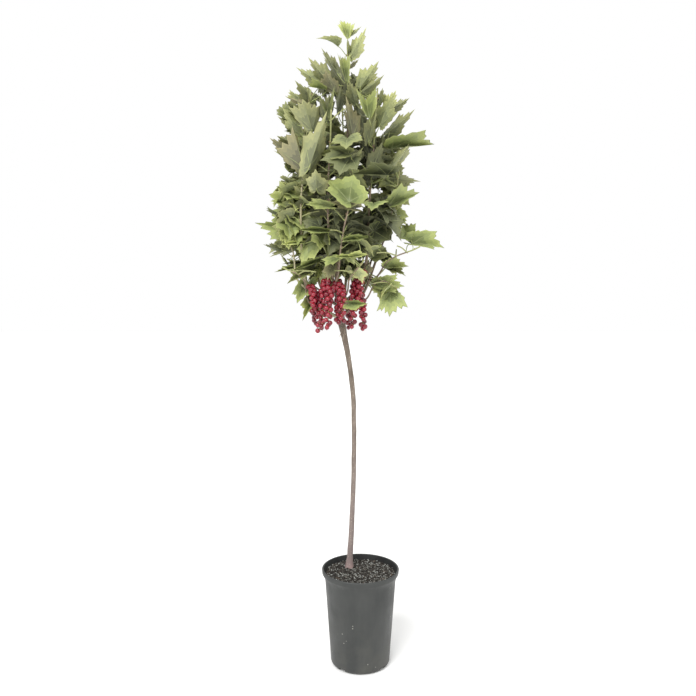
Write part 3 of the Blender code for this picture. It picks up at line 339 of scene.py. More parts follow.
# Chances of each grown or read blade: droop, arch, quilting between the veins, waves of its edge, skew
BLADE_DROOPS = (-0.08, 0.04)
BLADE_ARCHES = (0.02, 0.10)
BLADE_QUILTS = (0.035, 0.065)
QUILT_END = 0.85
BLADE_WAVES = (0.010, 0.030)
BLADE_BEATS = (5, 8)
BLADE_SKEWS = (-0.05, 0.05)

# Leaf stalks: their curve as shares of their span, and their girth, least and by the leaf's length
PETIOLE_STEPS = 5
PETIOLE_SIDES = 5
PETIOLE_SWAY = 0.05
PETIOLE_SAGS = (0.02, 0.10)
PETIOLE_BEND = 0.35
PETIOLE_ARRIVAL = 0.3
PETIOLE_INTO_BLADE = 0.05
PETIOLE_FOOT = 1.5
PETIOLE_POINT = 0.4
PETIOLE_GIRTH = (0.6, 0.4)
PETIOLE_FULL = 0.054
STALK_RADII = (0.00095, 0.00070)

# Buds: start beside and past the leaf's root, direction ahead and outwards, and rings as share and width
BUD_LEAST_OUT = 0.2
BUD_START = (0.6, 1.4)
BUD_WAY = (0.8, 0.6)
BUD_LENGTHS = (0.0030, 0.0050)
BUD_RINGS = ((0.0, 0.7), (0.35, 1.0), (0.7, 0.75), (0.92, 0.35), (1.0, 0.1))
BUD_RADIUS = 0.0011
BUD_SIDES = 6

# Tints: upper side and underside of the leaves
# shaded and deep paint shade on leaves inside the crown and under others; some upper leaves get deep by
# chance
TINTS = {
    "olive": ((0.205, 0.230, 0.096), (0.258, 0.276, 0.136)),
    "shaded": ((0.114, 0.128, 0.066), (0.142, 0.154, 0.090)),
    "deep": ((0.128, 0.146, 0.070), (0.172, 0.186, 0.102)),
    "dull": ((0.205, 0.200, 0.110), (0.258, 0.248, 0.146)),
    "pale": ((0.235, 0.255, 0.118), (0.300, 0.316, 0.160)),
    "light": ((0.262, 0.310, 0.116), (0.318, 0.350, 0.162)),
    "fresh": ((0.300, 0.345, 0.130), (0.355, 0.385, 0.180)),
    "young": ((0.430, 0.480, 0.190), (0.480, 0.520, 0.245)),
}

# Tones of each tint, from painted shade at the leaf's root to painted light at its rim, and the finish of the
# veins, after both sides' tones
PAINTED_SHADE_LIGHT_GAINS = ((0.60, 0.62, 0.68), (0.90, 0.91, 0.92), (1.10, 1.08, 1.03), (1.24, 1.20, 1.10))
VEIN_FINISH = 8

# Where each tint stands: heights, lengths and places within the crown, and shares by chance
# The shaded and deep tints near the crown's axis are painted shade
TINT_CHANCE = 0.05
SHADED_SHARES = ((0.80, 0.33), (0.90, 0.34), (0.95, 0.45), (1.01, 0.43), (1.07, 0.33))
SHADED_BELOW = 1.24
YOUNG_ABOVE = 1.30
YOUNG_LENGTH = 0.030
FRESH_ABOVE = 1.22
FRESH_SHARE = 0.6
OLIVE_ABOVE = 1.02
DEEP_SHADE_WITHIN = 0.06
DEEP_SHARE = 0.25
LOW_FRESH_SHARE = 0.55

# Materials. Patches are given as the range that they are drawn from and their grain: its scale, detail,
# roughness and stretch. Reach is a range of distances or heights, gloss one of roughnesses, and a depth
# of relief is in metres. The mixing step's colours go by the numbers of its sockets.
EVEN = (1.0, 1.0, 1.0)
PLAIN_ROUGHNESS = 0.55
MIX_FIRST = 6
MIX_SECOND = 7
MIX_RESULT = 2

# Leaf skin: side, roughness and depth of the pores, and for the veins how far they are mottled
LEAF_SKINS = (("upper", 0.50, 0.00006), ("under", 0.66, 0.00010))
VEIN_SKIN = (0.50, 0.00004, 0.10)
VEIN_COLOUR = (0.300, 0.335, 0.150)
LEAF_SHINE = 0.35
LEAF_MOTTLE = 0.12
LEAF_WARMTH = (1.0, 0.7, 0.2)
LEAF_CLOUDS = (0.30, 0.70, 38.0, 4.0)
LEAF_SPOTS = (0.35, 0.75, 240.0, 2.0)
LEAF_SPOTTED = 0.35
LEAF_SPOT_SHADE = 0.74
LEAF_GLOSS = (0.06, 0.08)
LEAF_PORES = (520.0, 3.0)
LEAF_PUCKERS = (130.0, 2.0)
LEAF_PUCKER_DEPTH = 3.0

# Wood
WOOD_SEED = 8
LEAST_RADIUS = 0.0002
NEARLY_ALONG = 0.9
FLARE_FADE = 0.4
TRUNK_SUNK = 0.004
TRUNK_FLARE = 1.10
TRUNK_RING_STEP = 0.0022
TRUNK_SIDES = 32
TRUNK_RELIEF = 0.085
TRUNK_BARK_SEED = 1.7
BOUGH_SUNK = 1.6
BOUGH_FLARE = 1.30
BOUGH_RING_STEP = 0.0028
BOUGH_SIDES = 14
BOUGH_RELIEF = 0.10
BOUGH_BARK_SEED = 3.0
SHOOT_SUNK = 0.002
SHOOT_RING_STEP = 0.0035
SHOOT_SIDES = 10
SHOOT_RELIEF = 0.08
SHOOT_BARK_SEED = 30.0
SHOOT_RIPE = 0.6
TWIG_SIDES = 6
TWIG_SLIMNESS = 0.85

# Relief of the bark: waves round and along the limb, how the seed shifts them, and their weight
BARK_WAVES = ((3.1, 22.0, 1, 0, 0.9), (1.3, 160.0, 0, 1, 0.35), (0.9, 45.0, 0, -1, 0.8),
              (9.0, 90.0, 0, 1, 0.35))

# Bark
OLD_STRETCH = (1.0, 1.0, 0.22)
YOUNG_STRETCH = (1.0, 1.0, 0.25)
BARK_ROUGHNESS = 0.80
BARK_SHINE = 0.25
BARK_STREAKS = (0.32, 0.68, 95.0, 5.0, 0.62)
BARK_CLOUDS = (0.38, 0.66, 28.0, 3.0)
BARK_CLOUDED = 0.55
BARK_CLOUD_SHADE = 0.8
BARK_CELLS = (300.0, (1.0, 1.0, 0.55))
BARK_SPECK_REACH = (0.24, 0.12)
BARK_SPECKED = 0.75
BARK_SPECK_DEPTH = 0.0002
BARK_GLOSS = (0.68, 0.90)
BARK_GRAIN = (210.0, 5.0, 0.6)
BARK_GRAIN_DEPTH = 0.0006
BARK_LIGHT = (0.235, 0.192, 0.155)
BARK_DARK = (0.105, 0.084, 0.064)
BARK_SPECK = (0.430, 0.380, 0.310)
BARK_FOOT = (0.215, 0.172, 0.170)
BARK_FOOT_HEIGHTS = (0.62, 0.26)
BARK_FOOT_SHARE = 0.6
BARK_BLUSH = (0.300, 0.195, 0.190)
BARK_BLUSH_HEIGHTS = (0.235, 0.205)
PEEL_SEED = 6
PEEL_COUNT = 10
PEEL_PLACES = (0.90, 0.965)
PEEL_HEADINGS = (150.0, 300.0)
PEEL_LENGTHS = (0.006, 0.014)
PEEL_RADIUS = 0.0005
PEEL_RING_STEP = 0.002
PEEL_BEND = (0.22, 0.35)
PEEL_CURLS = (0.2, 0.5)
PEEL_LOW = (0.300, 0.240, 0.170)
PEEL_HIGH = (0.480, 0.420, 0.330)

# Colours of the green and ripe wood
SHOOT_LIGHT = (0.350, 0.275, 0.195)
SHOOT_DARK = (0.175, 0.130, 0.098)
SHOOT_SPECK = (0.560, 0.500, 0.400)
PALE_BOUGHS = ("bough_left", "side_left")
PALE_LIGHT = (0.540, 0.500, 0.340)
PALE_DARK = (0.255, 0.225, 0.120)
GREEN_LOW = (0.230, 0.260, 0.100)
GREEN_HIGH = (0.360, 0.360, 0.160)
GREEN_FLECK = (0.420, 0.300, 0.180)
STALK_LOW = (0.260, 0.310, 0.100)
STALK_HIGH = (0.420, 0.460, 0.190)
STALK_FLECK = (0.420, 0.260, 0.160)
BUD_LOW = (0.210, 0.130, 0.085)
BUD_HIGH = (0.360, 0.260, 0.150)
BUD_FLECK = (0.470, 0.400, 0.280)
STEM_ROUGHNESS = 0.55
STEM_SHINE = 0.35
STEM_STREAKS = (0.32, 0.68, 120.0, 4.0, 0.6, (1.0, 1.0, 0.2))
STEM_FLECKS = (0.62, 0.72, 420.0, 2.0)
STEM_FLECKED = 0.6
STEM_GRAIN = (300.0, 3.0, 0.5, (1.0, 1.0, 0.3))
STEM_GRAIN_DEPTH = 0.0002

# Fruit
FRUIT_SEED = 14
FRUIT_BARE = 0.14
FRUIT_STEP = 0.0029
FRUIT_OUT = 0.0068
FRUIT_FULL = 0.080
FRUIT_RADII = (0.0057, 0.0050)
FRUIT_SIZES = (0.93, 1.07)
FRUIT_NARROWING = 0.35
FRUIT_DROPS = (0.002, 0.004)
FRUIT_DARK_SHARE = 0.22
# Trusses at the back whose berries all take the dark red as painted shade
SHADED_TRUSSES = ("bough_back", "bough_back_left")
TRUSS_SUNK = 0.0012
TRUSS_RING_STEP = 0.003
TRUSS_SIDES = 6
TRUSS_TAPER = (1.25, 0.7)
BERRY_ROWS = (18, 36, 54, 72, 90, 108, 126, 144, 162)
BERRY_SIDES = 14
BERRY_LEAN = 0.45
BERRY_TOP = 0.97
BERRY_END = 0.96
END_NECK = 0.0005
END_LENGTHS = (0.0008, 0.0014)
END_RADII = (0.0008, 0.0005, 0.0007)
PEDICEL_ARCH = 0.0006
PEDICEL_RADII = (0.0005, 0.00042, 0.00055)
PEDICEL_SIDES = 5
BERRY_ROUGHNESS = 0.26
BERRY_SHINE = 0.45
BERRY_SKIN = {"Coat_Weight": 0.25, "Coat_Roughness": 0.16, "Subsurface_Weight": 0.25,
              "Subsurface_Scale": 0.004, "Subsurface_Radius": (1.0, 0.18, 0.12)}
BERRY_CLOUDS = (0.34, 0.68, 170.0, 3.0)
BERRY_GLOSS = (0.22, 0.36)
BERRY_GRAIN = (700.0, 2.0)
BERRY_GRAIN_DEPTH = 0.00008
BERRY_BRIGHT = (0.300, 0.017, 0.034)
BERRY_DEEP = (0.175, 0.009, 0.020)
BERRY_SHADE = (0.115, 0.006, 0.014)
BERRY_COLOURS = (("bright", BERRY_BRIGHT, BERRY_DEEP), ("dark", BERRY_DEEP, BERRY_SHADE))
STRIG_LOW = (0.300, 0.300, 0.110)
STRIG_HIGH = (0.460, 0.400, 0.170)
STRIG_FLECK = (0.450, 0.160, 0.100)
END_LOW = (0.060, 0.035, 0.025)
END_HIGH = (0.160, 0.100, 0.060)

# Soil: its bits as name, count, sizes, how flat and long they are (fibres are neither), and two colours
SOIL_SEED = 3
SOIL_TOP_RINGS = 44
SOIL_TOP_SIDES = 180
SOIL_LUMPS = 0.0012
SOIL_WAVES = (60.0, 170.0, 420.0, 900.0)
SOIL_BROWN = (0.072, 0.065, 0.055)
SOIL_BLACK = (0.018, 0.016, 0.014)
SOIL_BITS = (
    ("crumbs", 620, (0.0012, 0.0042), (0.75, 1.25), ((0.046, 0.041, 0.034), (0.014, 0.012, 0.011))),
    ("chips", 60, (0.0018, 0.0046), (0.35, 1.9), ((0.120, 0.090, 0.066), (0.062, 0.046, 0.036))),
    ("grit", 340, (0.0008, 0.0026), (0.75, 1.25), ((0.520, 0.530, 0.500), (0.230, 0.235, 0.215))),
    ("fibres", 260, (0.0040, 0.0120), None, ((0.440, 0.440, 0.400), (0.200, 0.195, 0.170))),
)
BITS_WITHIN = 0.985
BITS_OFF_TRUNK = 0.010
BIT_UPPER = (0.1, 0.2, 1.0)
BIT_TILTS = (-0.35, 0.35)
BIT_ROUGHNESS = (0.74, 1.22)
BIT_RISE = 0.25
FIBRE_RISES = (0.001, 0.0025)
FIBRE_BEND = 0.25
FIBRE_END_RISE = 0.4
FIBRE_OFF_WALL = 0.002
FIBRE_RADII = (0.00022, 0.00028, 0.00012)
FIBRE_STEP = 0.0015
FIBRE_SIDES = 4
SOIL_ROUGHNESS = 0.92
SOIL_SHINE = 0.2
SOIL_SCALE = 420.0
BIT_SCALE = 600.0
SOIL_GRAIN_RANGE = (0.35, 0.68)
SOIL_GRAINS = (5.0, 0.7)
SOIL_GLOSS = (0.80, 1.0)
SOIL_FINER = 1.7
SOIL_CRUMBS = (4.0, 0.7)
SOIL_CRUMB_DEPTH = 0.0008

# Pot: the turns of its lip, as moves outwards and up in radii of its rounding
POT_SIDES = 160
POT_WALL_ROWS = 24
FOOT_STEPS = 8
LIP_INSIDE = ((0.0, -2.0), (0.3, -0.6), (1.0, 0.0))
LIP_TOP = ((-1.2, 0.0), (-0.3, -0.4), (0.0, -1.3))
LIP_UNDERSIDE = ((-0.5, 1.4), (-0.6, 0.4))
POT_DARK = (0.019, 0.021, 0.020)
POT_LIGHT = (0.033, 0.035, 0.033)
POT_DUST = (0.082, 0.080, 0.066)
POT_SPECK = (0.420, 0.410, 0.370)
# Painted shade of the pot's inner wall
POT_LINING_SHADE = (0.008, 0.008, 0.008)
POT_FILLET = 0.020
POT_FILLET_STEPS = 8
POT_FILLET_REACH = 0.0054
POT_FILLET_POWER = 2.2
POT_ROUGHNESS = 0.46
POT_SHINE = 0.5
POT_FLOW = (0.30, 0.72, 26.0, 4.0, 0.6, (1.0, 1.0, 0.35))
POT_DUST_PATCHES = (0.42, 0.78, 14.0, 5.0, 0.65)
POT_DUST_HEIGHTS = (0.14, 0.0)
POT_DUSTED = 0.65
POT_CELLS = 62.0
POT_SPECK_REACH = (0.085, 0.050)
POT_GRIT = (0.52, 0.58, 33.0, 1.0)
POT_SPECKED = 0.9
POT_SCUFFS = (0.70, 0.76, 70.0, 2.0, 0.5, (1.0, 1.0, 0.5))
POT_SCUFFED = 0.5
POT_SCUFF_SHADE = 0.6
POT_GLOSS = (0.42, 0.66)
POT_GRAIN = (900.0, 3.0)
POT_GRAIN_DEPTH = 0.00012
POT_RIPPLES = (60.0, 3.0, 0.5, (1.0, 1.0, 0.3))
POT_RIPPLE_DEPTH = 0.0004
# The lining: its darkness is painted shade, in patches
LINING_ROUGHNESS = 0.60
LINING_SHINE = 0.25
LINING_PATCHES = (0.35, 0.70, 48.0, 4.0, 0.6)
LINING_GLOSS = (0.45, 0.75)
LINING_GRAIN = (700.0, 3.0)
LINING_GRAIN_DEPTH = 0.0001

# View and light
CAMERA_SENSOR = 36.0
CAMERA_LENS = 44.2
CAMERA_PLACE = (-0.0274, -1.8, 0.9644)
CAMERA_DIP = 8.067
WORLD_STRENGTH = 1.0
LIGHTS = (
    ("key", (-1.3, -2.9, 2.9), 30.0, 2.7),
    ("fill", (2.4, -2.4, 1.2), 60.0, 0.8),
)
FLOOR_REACH = 6.0
FLOOR_COLOUR = (0.86, 0.86, 0.85)
FLOOR_ROUGHNESS = 0.9
FLOOR_SHINE = 0.1
FLOOR_CLOUDS = (3.0, 3.0)
FLOOR_SHADE = 0.985

# The front as the camera's view shows it, in pixels from its upper left: the view's focal length and
# middle, a pixel's size at the crown, and the margin round the crown's outline
VIEW_FOCUS = 854.63
VIEW_MIDDLE = 348.0
VIEW_PIXEL = 0.00211
VIEW_MARGIN = 2.0

# How a leaf follows from what is seen of it: where the layers lie, what counts as rising, its length as
# shares of the span seen, its tip beyond the midrib, and its lobes' reach, lean and depths
LAYER_DEPTH = 0.70
LAYER_EDGE = 0.97
SEEN_RISING = 3.0
SEEN_LONGEST = 1.25
TOP_LONGEST = 1.4
SEEN_SHORTEST = 1.01
SEEN_TIP = 1.03
SEEN_LOBE = 0.90
SEEN_LOBE_LEAN = 0.6
SEEN_LOBE_DEPTHS = (0.12, 0.50)

# For a leaf that shows as a midrib only: how far it is folded up before the span seen limits its length,
# that limit, its greatest lean as a share of its length, and its base's loss when folded up whole
SHADED_CLOSED = 0.5
SHADED_LONGEST = 1.14
SHADED_LEAN = 0.75
SHADED_LOSS = 0.5

# Leaves of the front: where the blade starts, its tip and its left and right lobes in the view, its length
# in mm, the side that is seen, its layer, its tint, and how much of its base is missing
# A deep or shaded tint paints the shade that falls on that leaf
SEEN_LEAVES = (
    ((347, 37), (340.5, 18), (337.5, 28), (350.5, 25), 42, "top", 0.3, "young", 0.52),
    ((349.5, 36), (361, 28.5), (357, 31), (352.5, 28.5), 30, "under", 0.1, "fresh", 0.52),
    ((338, 46.5), (316.5, 42.5), (336.5, 43), (330, 35.5), 50, "edge", 0.1, "young", 0.9),
    ((351, 55), (366, 32), (365, 47.5), (352, 37), 60, "under", 0.4, "young", 0.52),
    ((350, 57), (347.5, 42), (351, 45), (346.5, 47), 36, "under", 0.2, "olive", 0.52),
    ((338, 74), (322, 49.5), (334.5, 52), (324, 56), 58, "under", 0.0, "olive", 0.52),
    ((347, 82), (342.5, 52.5), (337.5, 53), (350.5, 57), 66, "top", 0.6, "fresh", 0.52),
    ((349, 67), (358.5, 61.5), (355, 65), (353, 60), 26, "under", -0.1, "dull", 0.52),
    ((328, 81), (309, 60.5), (326, 59.5), (312, 72), 58, "under", 0.3, "pale", 0.5),
    ((318, 81), (296.5, 68.5), (309, 65), (308, 81.5), 50, "under", 0.2, "fresh", 0.5),
    ((334, 91), (325, 73.5), (338, 80), (318, 81), 46, "under", 0.5, "dull", 0.52),
    ((326, 90), (308, 84), (312, 89), (312, 79.5), 42, "top", 0.4, "fresh", 0.52),
    ((322, 81), (325, 97), (317, 89), (330, 91), 40, "under", -0.2, "deep", 0.52),
    ((315, 99), (295.5, 84), (308, 85), (298, 99), 54, "under", 0.2, "olive", 0.4),
    ((360, 87), (378, 64), (378, 74), (360, 65), 60, "under", 0.5, "fresh", 0.5),
    ((361, 92), (383, 78), (374, 92), (371, 77), 54, "under", 0.6, "olive", 0.4),
    ((358, 84), (351, 73.5), (360, 76), (349.5, 81), 28, "under", -0.4, "deep", 0.52),
    ((302, 100), (290, 91), (297, 92), (287, 97), 32, "under", 0.1, "fresh", 0.52),
    ((315, 108), (286.5, 99.5), (302, 95.5), (301, 107), 64, "under", 0.4, "dull", 0.52),
    ((312, 130), (304, 105), (320, 104), (289, 108), 64, "under", 1.0, "pale", 0.5),
    ((301, 134), (284, 112), (294, 109), (283, 122), 62, "under", 0.3, "fresh", 0.4),
    ((298, 129), (279, 119), (289, 115), (287, 130), 46, "under", 0.1, "olive", 0.3),
    ((299, 131), (285, 133), (290, 137), (290, 130), 34, "top", -0.2, "deep", 0.52),
    ((329, 119), (326, 97), (317.5, 92), (334.5, 87.5), 64, "top", 0.8, "olive", 0.5),
    ((338, 112), (341, 89), (345, 94), (336, 91), 54, "under", 0.4, "deep", 0.52),
    ((310, 166), (327.5, 118), (327, 141), (302.5, 133), 108, "under", 1.25, "pale", 0.3),
    ((304, 168), (294, 132), (303, 148), (275, 146.5), 84, "under", 0.7, "dull", 0.52),
    ((298, 144), (278, 138), (286, 133), (284, 147), 46, "under", -0.1, "olive", 0.3),
    ((304, 170), (275.5, 152.5), (284, 148), (291, 163), 70, "under", 0.2, "olive", 0.52),
    ((347, 139), (346, 151), (362, 142), (331, 145), 58, "top", 1.2, "olive", 0.1),
    ((348, 154), (319.5, 150), (324, 162), (331, 147), 66, "top", 1.0, "olive", 0.2),
    ((349, 160), (363, 149.5), (358, 160.5), (353, 152), 40, "under", 1.05, "olive", 0.52),
    ((351, 158), (340, 179), (357, 176), (322, 164), 66, "top", 0.95, "deep", 0.1),
    ((334, 170), (308.5, 170), (316, 163.5), (318, 173), 60, "under", 0.9, "olive", 0.3),
    ((387, 175), (352, 177), (368, 181), (370, 168), 76, "top", 0.9, "deep", 0.2),
    ((316.5, 189), (316, 172), (329, 181), (305, 178), 46, "under", 1.1, "pale", 0.2),
    ((308, 198), (294.5, 188), (301, 183), (295, 195), 40, "under", 0.6, "pale", 0.3),
    ((369, 119), (366, 93), (356, 90), (376, 87), 66, "top", 1.0, "fresh", 0.1),
    ((378, 106), (382, 91.5), (386, 95), (377, 94), 36, "under", 0.5, "olive", 0.52),
    ((385, 112), (395, 95), (399, 101), (385.5, 93.5), 48, "under", 0.4, "young", 0.52),
    ((391, 109), (408.5, 101), (402, 109), (401, 97.5), 44, "under", 0.1, "olive", 0.4),
    ((380, 125), (391, 101), (398, 111), (374, 108), 60, "under", 0.7, "light", 0.4),
    ((386, 134), (412.5, 115), (401, 131), (400, 111), 76, "under", 0.3, "olive", 0.4),
    ((369, 141), (376, 112), (378, 123), (364, 122), 70, "under", 0.6, "olive", 0.52),
    ((353, 137), (346, 102), (361, 113), (344.5, 112), 78, "under", 0.8, "dull", 0.52),
    ((392, 148.5), (435, 141), (423, 134), (410, 149), 94, "top", 0.1, "light", 0.05),
    ((385, 175), (407, 150), (398, 163), (386, 149), 74, "under", 0.5, "olive", 0.52),
    ((388, 178), (421.5, 178.5), (402, 182), (408.5, 170), 76, "under", 0.1, "olive", 0.4),
    ((379, 160), (389, 135), (388, 150), (381, 145), 60, "under", 0.2, "olive", 0.52),
    ((356, 104), (349, 85), (358, 88), (344, 93), 52, "under", 0.5, "olive", 0.52),
    ((320, 99), (311, 94), (316, 92), (313, 97), 24, "under", -0.1, "deep", 0.52),
    ((349, 202), (327.5, 175.5), (324.5, 191), (353, 177), 78, "top", 1.35, "light", 0.0),
    ((298, 209), (268, 192), (272, 203), (281, 184), 78, "top", 0.2, "fresh", 0.0),
    ((286, 216), (282, 207), (279, 211), (290, 208), 26, "top", 0.3, "young", 0.0),
    ((280, 214), (267, 207), (270, 211), (266, 210), 30, "under", -0.1, "deep", 0.52),
    ((298, 232), (254, 220.5), (271, 242), (287, 222), 100, "top", 0.1, "light", 0.6),
    ((282, 250), (264, 245), (270, 241.5), (273, 249), 42, "under", -0.1, "deep", 0.52),
    ((299, 249), (269.5, 255.5), (273, 249), (281, 254.5), 66, "under", 0.0, "olive", 0.52),
    ((303, 243), (283, 245), (290, 247), (288, 242.5), 44, "top", 0.7, "young", 0.52),
    ((330, 207), (307, 207), (315, 213), (312, 201.5), 54, "top", 1.0, "fresh", 0.2),
    ((354, 208), (331, 205), (338, 211), (340, 199), 54, "top", 1.05, "dull", 0.1),
    ((373, 204), (371, 212.5), (388, 203), (361, 204.5), 50, "top", 1.1, "light", 0.8),
    ((388, 206), (421, 188.5), (400, 184.5), (402, 205), 90, "top", 0.3, "light", 0.5),
    ((374, 231), (402, 213), (388, 209), (388.5, 241.5), 76, "top", 0.2, "deep", 0.3),
    ((411, 240), (403, 222), (396, 236), (416, 223.5), 50, "top", 0.0, "light", 0.8),
    ((412, 244), (442.5, 249), (436, 233.5), (432, 252), 68, "top", 0.0, "light", 0.1),
    ((322, 231), (297, 231.5), (312, 236.5), (311, 229.5), 58, "top", 0.9, "light", 0.3),
    ((320, 235), (320, 251), (330, 246), (311, 243), 46, "top", 0.7, "fresh", 0.0),
    ((347, 240), (373, 235), (358, 235), (360, 241.5), 58, "top", 1.0, "light", 0.4),
    ((356, 240), (344, 236), (347, 240), (350, 234.5), 30, "top", 1.0, "fresh", 0.3),
    ((352, 257), (369, 253), (359, 250.5), (362, 257), 42, "top", 1.2, "young", 0.3),
    ((350, 257), (333, 258), (340, 259.5), (340, 255), 38, "top", 1.2, "young", 0.3),
    ((338, 259), (325, 267.5), (333, 266), (321, 261), 44, "top", 0.9, "light", 0.1),
    ((317, 261), (293, 271.5), (304, 270), (303, 264), 58, "top", 0.6, "light", 0.2),
    ((312, 270), (289, 284.5), (303, 282), (293.5, 273), 66, "top", 0.4, "olive", 0.0),
    ((307, 284), (298, 304), (313.5, 297), (293.5, 295), 54, "top", 0.3, "light", 0.0),
    ((313, 300), (303.5, 320.5), (311, 313), (301.5, 306), 54, "top", 0.2, "fresh", 0.1),
    ((314, 277), (309, 286), (314, 283), (309, 279), 26, "top", -0.1, "deep", 0.3),
    ((289, 266), (281, 254.5), (285, 258), (283, 260), 36, "under", -0.1, "olive", 0.52),
    ((291, 268), (275, 272.5), (282, 272), (283, 267), 38, "top", 0.2, "fresh", 0.4),
    ((303, 263), (283, 264.5), (292, 265.5), (291, 261), 44, "top", 0.0, "olive", 0.4),
    ((386, 268), (409.5, 264.5), (396, 256), (403, 268), 60, "top", 0.1, "fresh", 0.4),
    ((388, 268), (405, 276.5), (403, 270), (392, 275), 44, "top", -0.2, "olive", 0.2),
    ((377, 284), (403, 287), (397, 276), (396, 294), 60, "top", 0.1, "light", 0.3),
    ((384, 289), (380, 301), (385, 297), (371, 291), 36, "top", 0.05, "fresh", 0.3),
    ((391, 293), (389, 317), (407.5, 308.5), (377, 311), 58, "top", 0.35, "light", 0.5),
    ((350, 303), (367.5, 304), (359, 301), (356, 311), 42, "top", 1.1, "light", 0.1),
    ((366, 266), (351, 271), (355, 266), (360, 277), 44, "under", 0.4, "dull", 0.1),
    ((367, 266), (366, 279), (361, 274), (371, 272), 34, "under", 0.3, "dull", 0.2),
    ((346, 256), (354, 266), (358, 258), (348, 264), 34, "top", 0.8, "olive", 0.0),
    ((372, 257), (386.5, 246), (379, 243), (388, 257), 48, "top", 0.1, "olive", 0.1),
    ((333, 268), (328, 281), (335, 277), (322, 273), 36, "top", 0.7, "dull", 0.1),
    ((343, 86), (334, 62), (343, 63), (328, 70), 54, "under", -0.1, "deep", 0.3),
    ((292, 122), (275, 106), (277, 116), (286, 103), 56, "top", 0.0, "olive", 0.4),
    ((290, 152), (271, 141), (281, 137), (277, 151), 52, "under", 0.0, "dull", 0.4),
    ((297, 112), (281, 103), (284, 112), (291, 101), 46, "top", 0.2, "pale", 0.4),
    ((396, 164), (412, 139), (411, 150), (400, 146), 62, "under", 0.2, "pale", 0.4),
    ((372, 172), (381, 146), (388, 155), (368, 152), 62, "under", 0.6, "deep", 0.2),
    ((360, 128), (357, 103), (366, 108), (348, 111), 58, "under", 0.2, "deep", 0.3),
)

# Leaves of the front that show as a midrib only: start and tip in the view, length in mm, what the upper
# side faces, degrees that it turns from there, layer, how far it is folded up, and tint
# Their shaded and deep tints are painted shade
SHADED_LEAVES = (
    ((368, 141), (360, 117), 56, "view", 170, 0.3, 0.725, "shaded"),
    ((369, 156), (362, 130), 56, "view", 170, 0.3, 0.725, "shaded"),
    ((327, 121), (330, 99), 50, "view", -170, 0.5, 0.875, "deep"),
    ((379, 168), (382, 138), 66, "view", 170, 0.2, 0.725, "deep"),
    ((330, 228), (312, 216), 60, "view", 150, 0.3, 0.25, "shaded"),
    ((338, 232), (326, 218), 56, "view", 160, 0.2, 0.25, "shaded"),
    ((345, 228), (336, 212), 56, "view", 165, 0.1, 0.25, "shaded"),
    ((366, 228), (352, 222), 56, "sky", -8, 0.2, 0.25, "shaded"),
    ((356, 248), (340, 246), 56, "sky", -8, 0.3, 0.25, "shaded"),
    ((338, 250), (322, 245), 54, "sky", -8, 0.2, 0.25, "shaded"),
    ((372, 246), (358, 247), 50, "sky", -8, 0.2, 0.25, "shaded"),
    ((330, 262), (314, 258), 48, "sky", -8, 0.2, 0.25, "shaded"),
    ((378, 234), (389, 242), 42, "view", -120, 0.0, 0.25, "deep"),
)

# Open places between the leaves, in the view: across, down, half width and half height
SEEN_OPENINGS = (
    (342, 123, 5, 14), (338, 111, 5, 1.5), (381, 131, 5, 9), (315, 89, 4.4, 2.4),
    (346, 98, 3, 2), (357, 108, 2.2, 4), (321, 77, 3, 2), (338, 71, 2, 1),
    (333, 75, 2, 1.4), (397, 112, 4, 4.5), (392, 141, 3.5, 7), (355, 131, 3.6, 2.4),
    (348, 215, 3, 4.5), (358, 212, 5, 6.5), (362, 199, 4.5, 2.6), (376, 193, 3, 2.6),
    (307, 216, 1.8, 6), (375, 215, 3, 1.8), (375, 236, 2.6, 4), (360, 263, 5, 3.6),
    (371, 262, 2, 4), (380, 265, 5, 3), (381, 277, 7, 5.5), (338, 279, 2, 2.4),
    (313, 289, 2.4, 8), (326, 317, 4, 2.2), (288, 255, 6, 3.2), (303, 262, 3, 1.5),
    (386, 283, 3, 2), (355, 68, 4.5, 5.5), (352, 76, 0.6, 3), (375, 86, 2, 2),
    (343, 303, 26, 20), (342.5, 44, 3.6, 7), (351, 45, 1.5, 4), (389, 251, 7, 4),
    (381, 241, 4, 4), (271, 177, 3, 5),
)

# Outline of the crown in the view: down, left and right
SEEN_OUTLINE = (
    (20, 339, 343), (30, 336, 360), (42, 320, 364), (58, 312, 360), (66, 300, 378),
    (80, 300, 384), (96, 287, 396), (120, 282, 408), (138, 279, 420), (174, 285, 415),
    (192, 272, 417), (222, 265, 405), (246, 268, 425), (270, 277, 405), (300, 298, 401),
    (318, 302, 390),
)


def between(table, value):
    """Straight-line reading of a table of rows whose first entry rises."""
    if value <= table[0][0]:
        return table[0][1:]
    for low, high in zip(table, table[1:]):
        if value <= high[0]:
            share = (value - low[0]) / (high[0] - low[0])
            return tuple(a + share * (b - a) for a, b in zip(low[1:], high[1:]))
    return table[-1][1:]


def view_axes():
    """Directions ahead, to the right and up as the camera looks."""
    dip = math.radians(CAMERA_DIP)
    ahead = np.array((0.0, math.cos(dip), -math.sin(dip)))
    return ahead, np.array((1.0, 0.0, 0.0)), np.array((0.0, math.sin(dip), math.cos(dip)))


VIEW_AHEAD, VIEW_RIGHT, VIEW_UP = view_axes()
VIEW_EYE = np.array(CAMERA_PLACE)


def in_view(across, down, depth):
    """Place that the camera sees at a pixel, at a depth behind the crown's middle plane."""
    way = VIEW_AHEAD * VIEW_FOCUS + VIEW_RIGHT * (across - VIEW_MIDDLE) + VIEW_UP * (VIEW_MIDDLE - down)
    return VIEW_EYE + way * (depth - VIEW_EYE[1]) / way[1]


def view_scale(place):
    """Size of the view's pixels at a place."""
    return (place - VIEW_EYE) @ VIEW_AHEAD / VIEW_FOCUS


def view_move(start, stop, scale):
    """Move square to the view from one of its pixels to another."""
    return (VIEW_RIGHT * (stop[0] - start[0]) - VIEW_UP * (stop[1] - start[1])) * scale


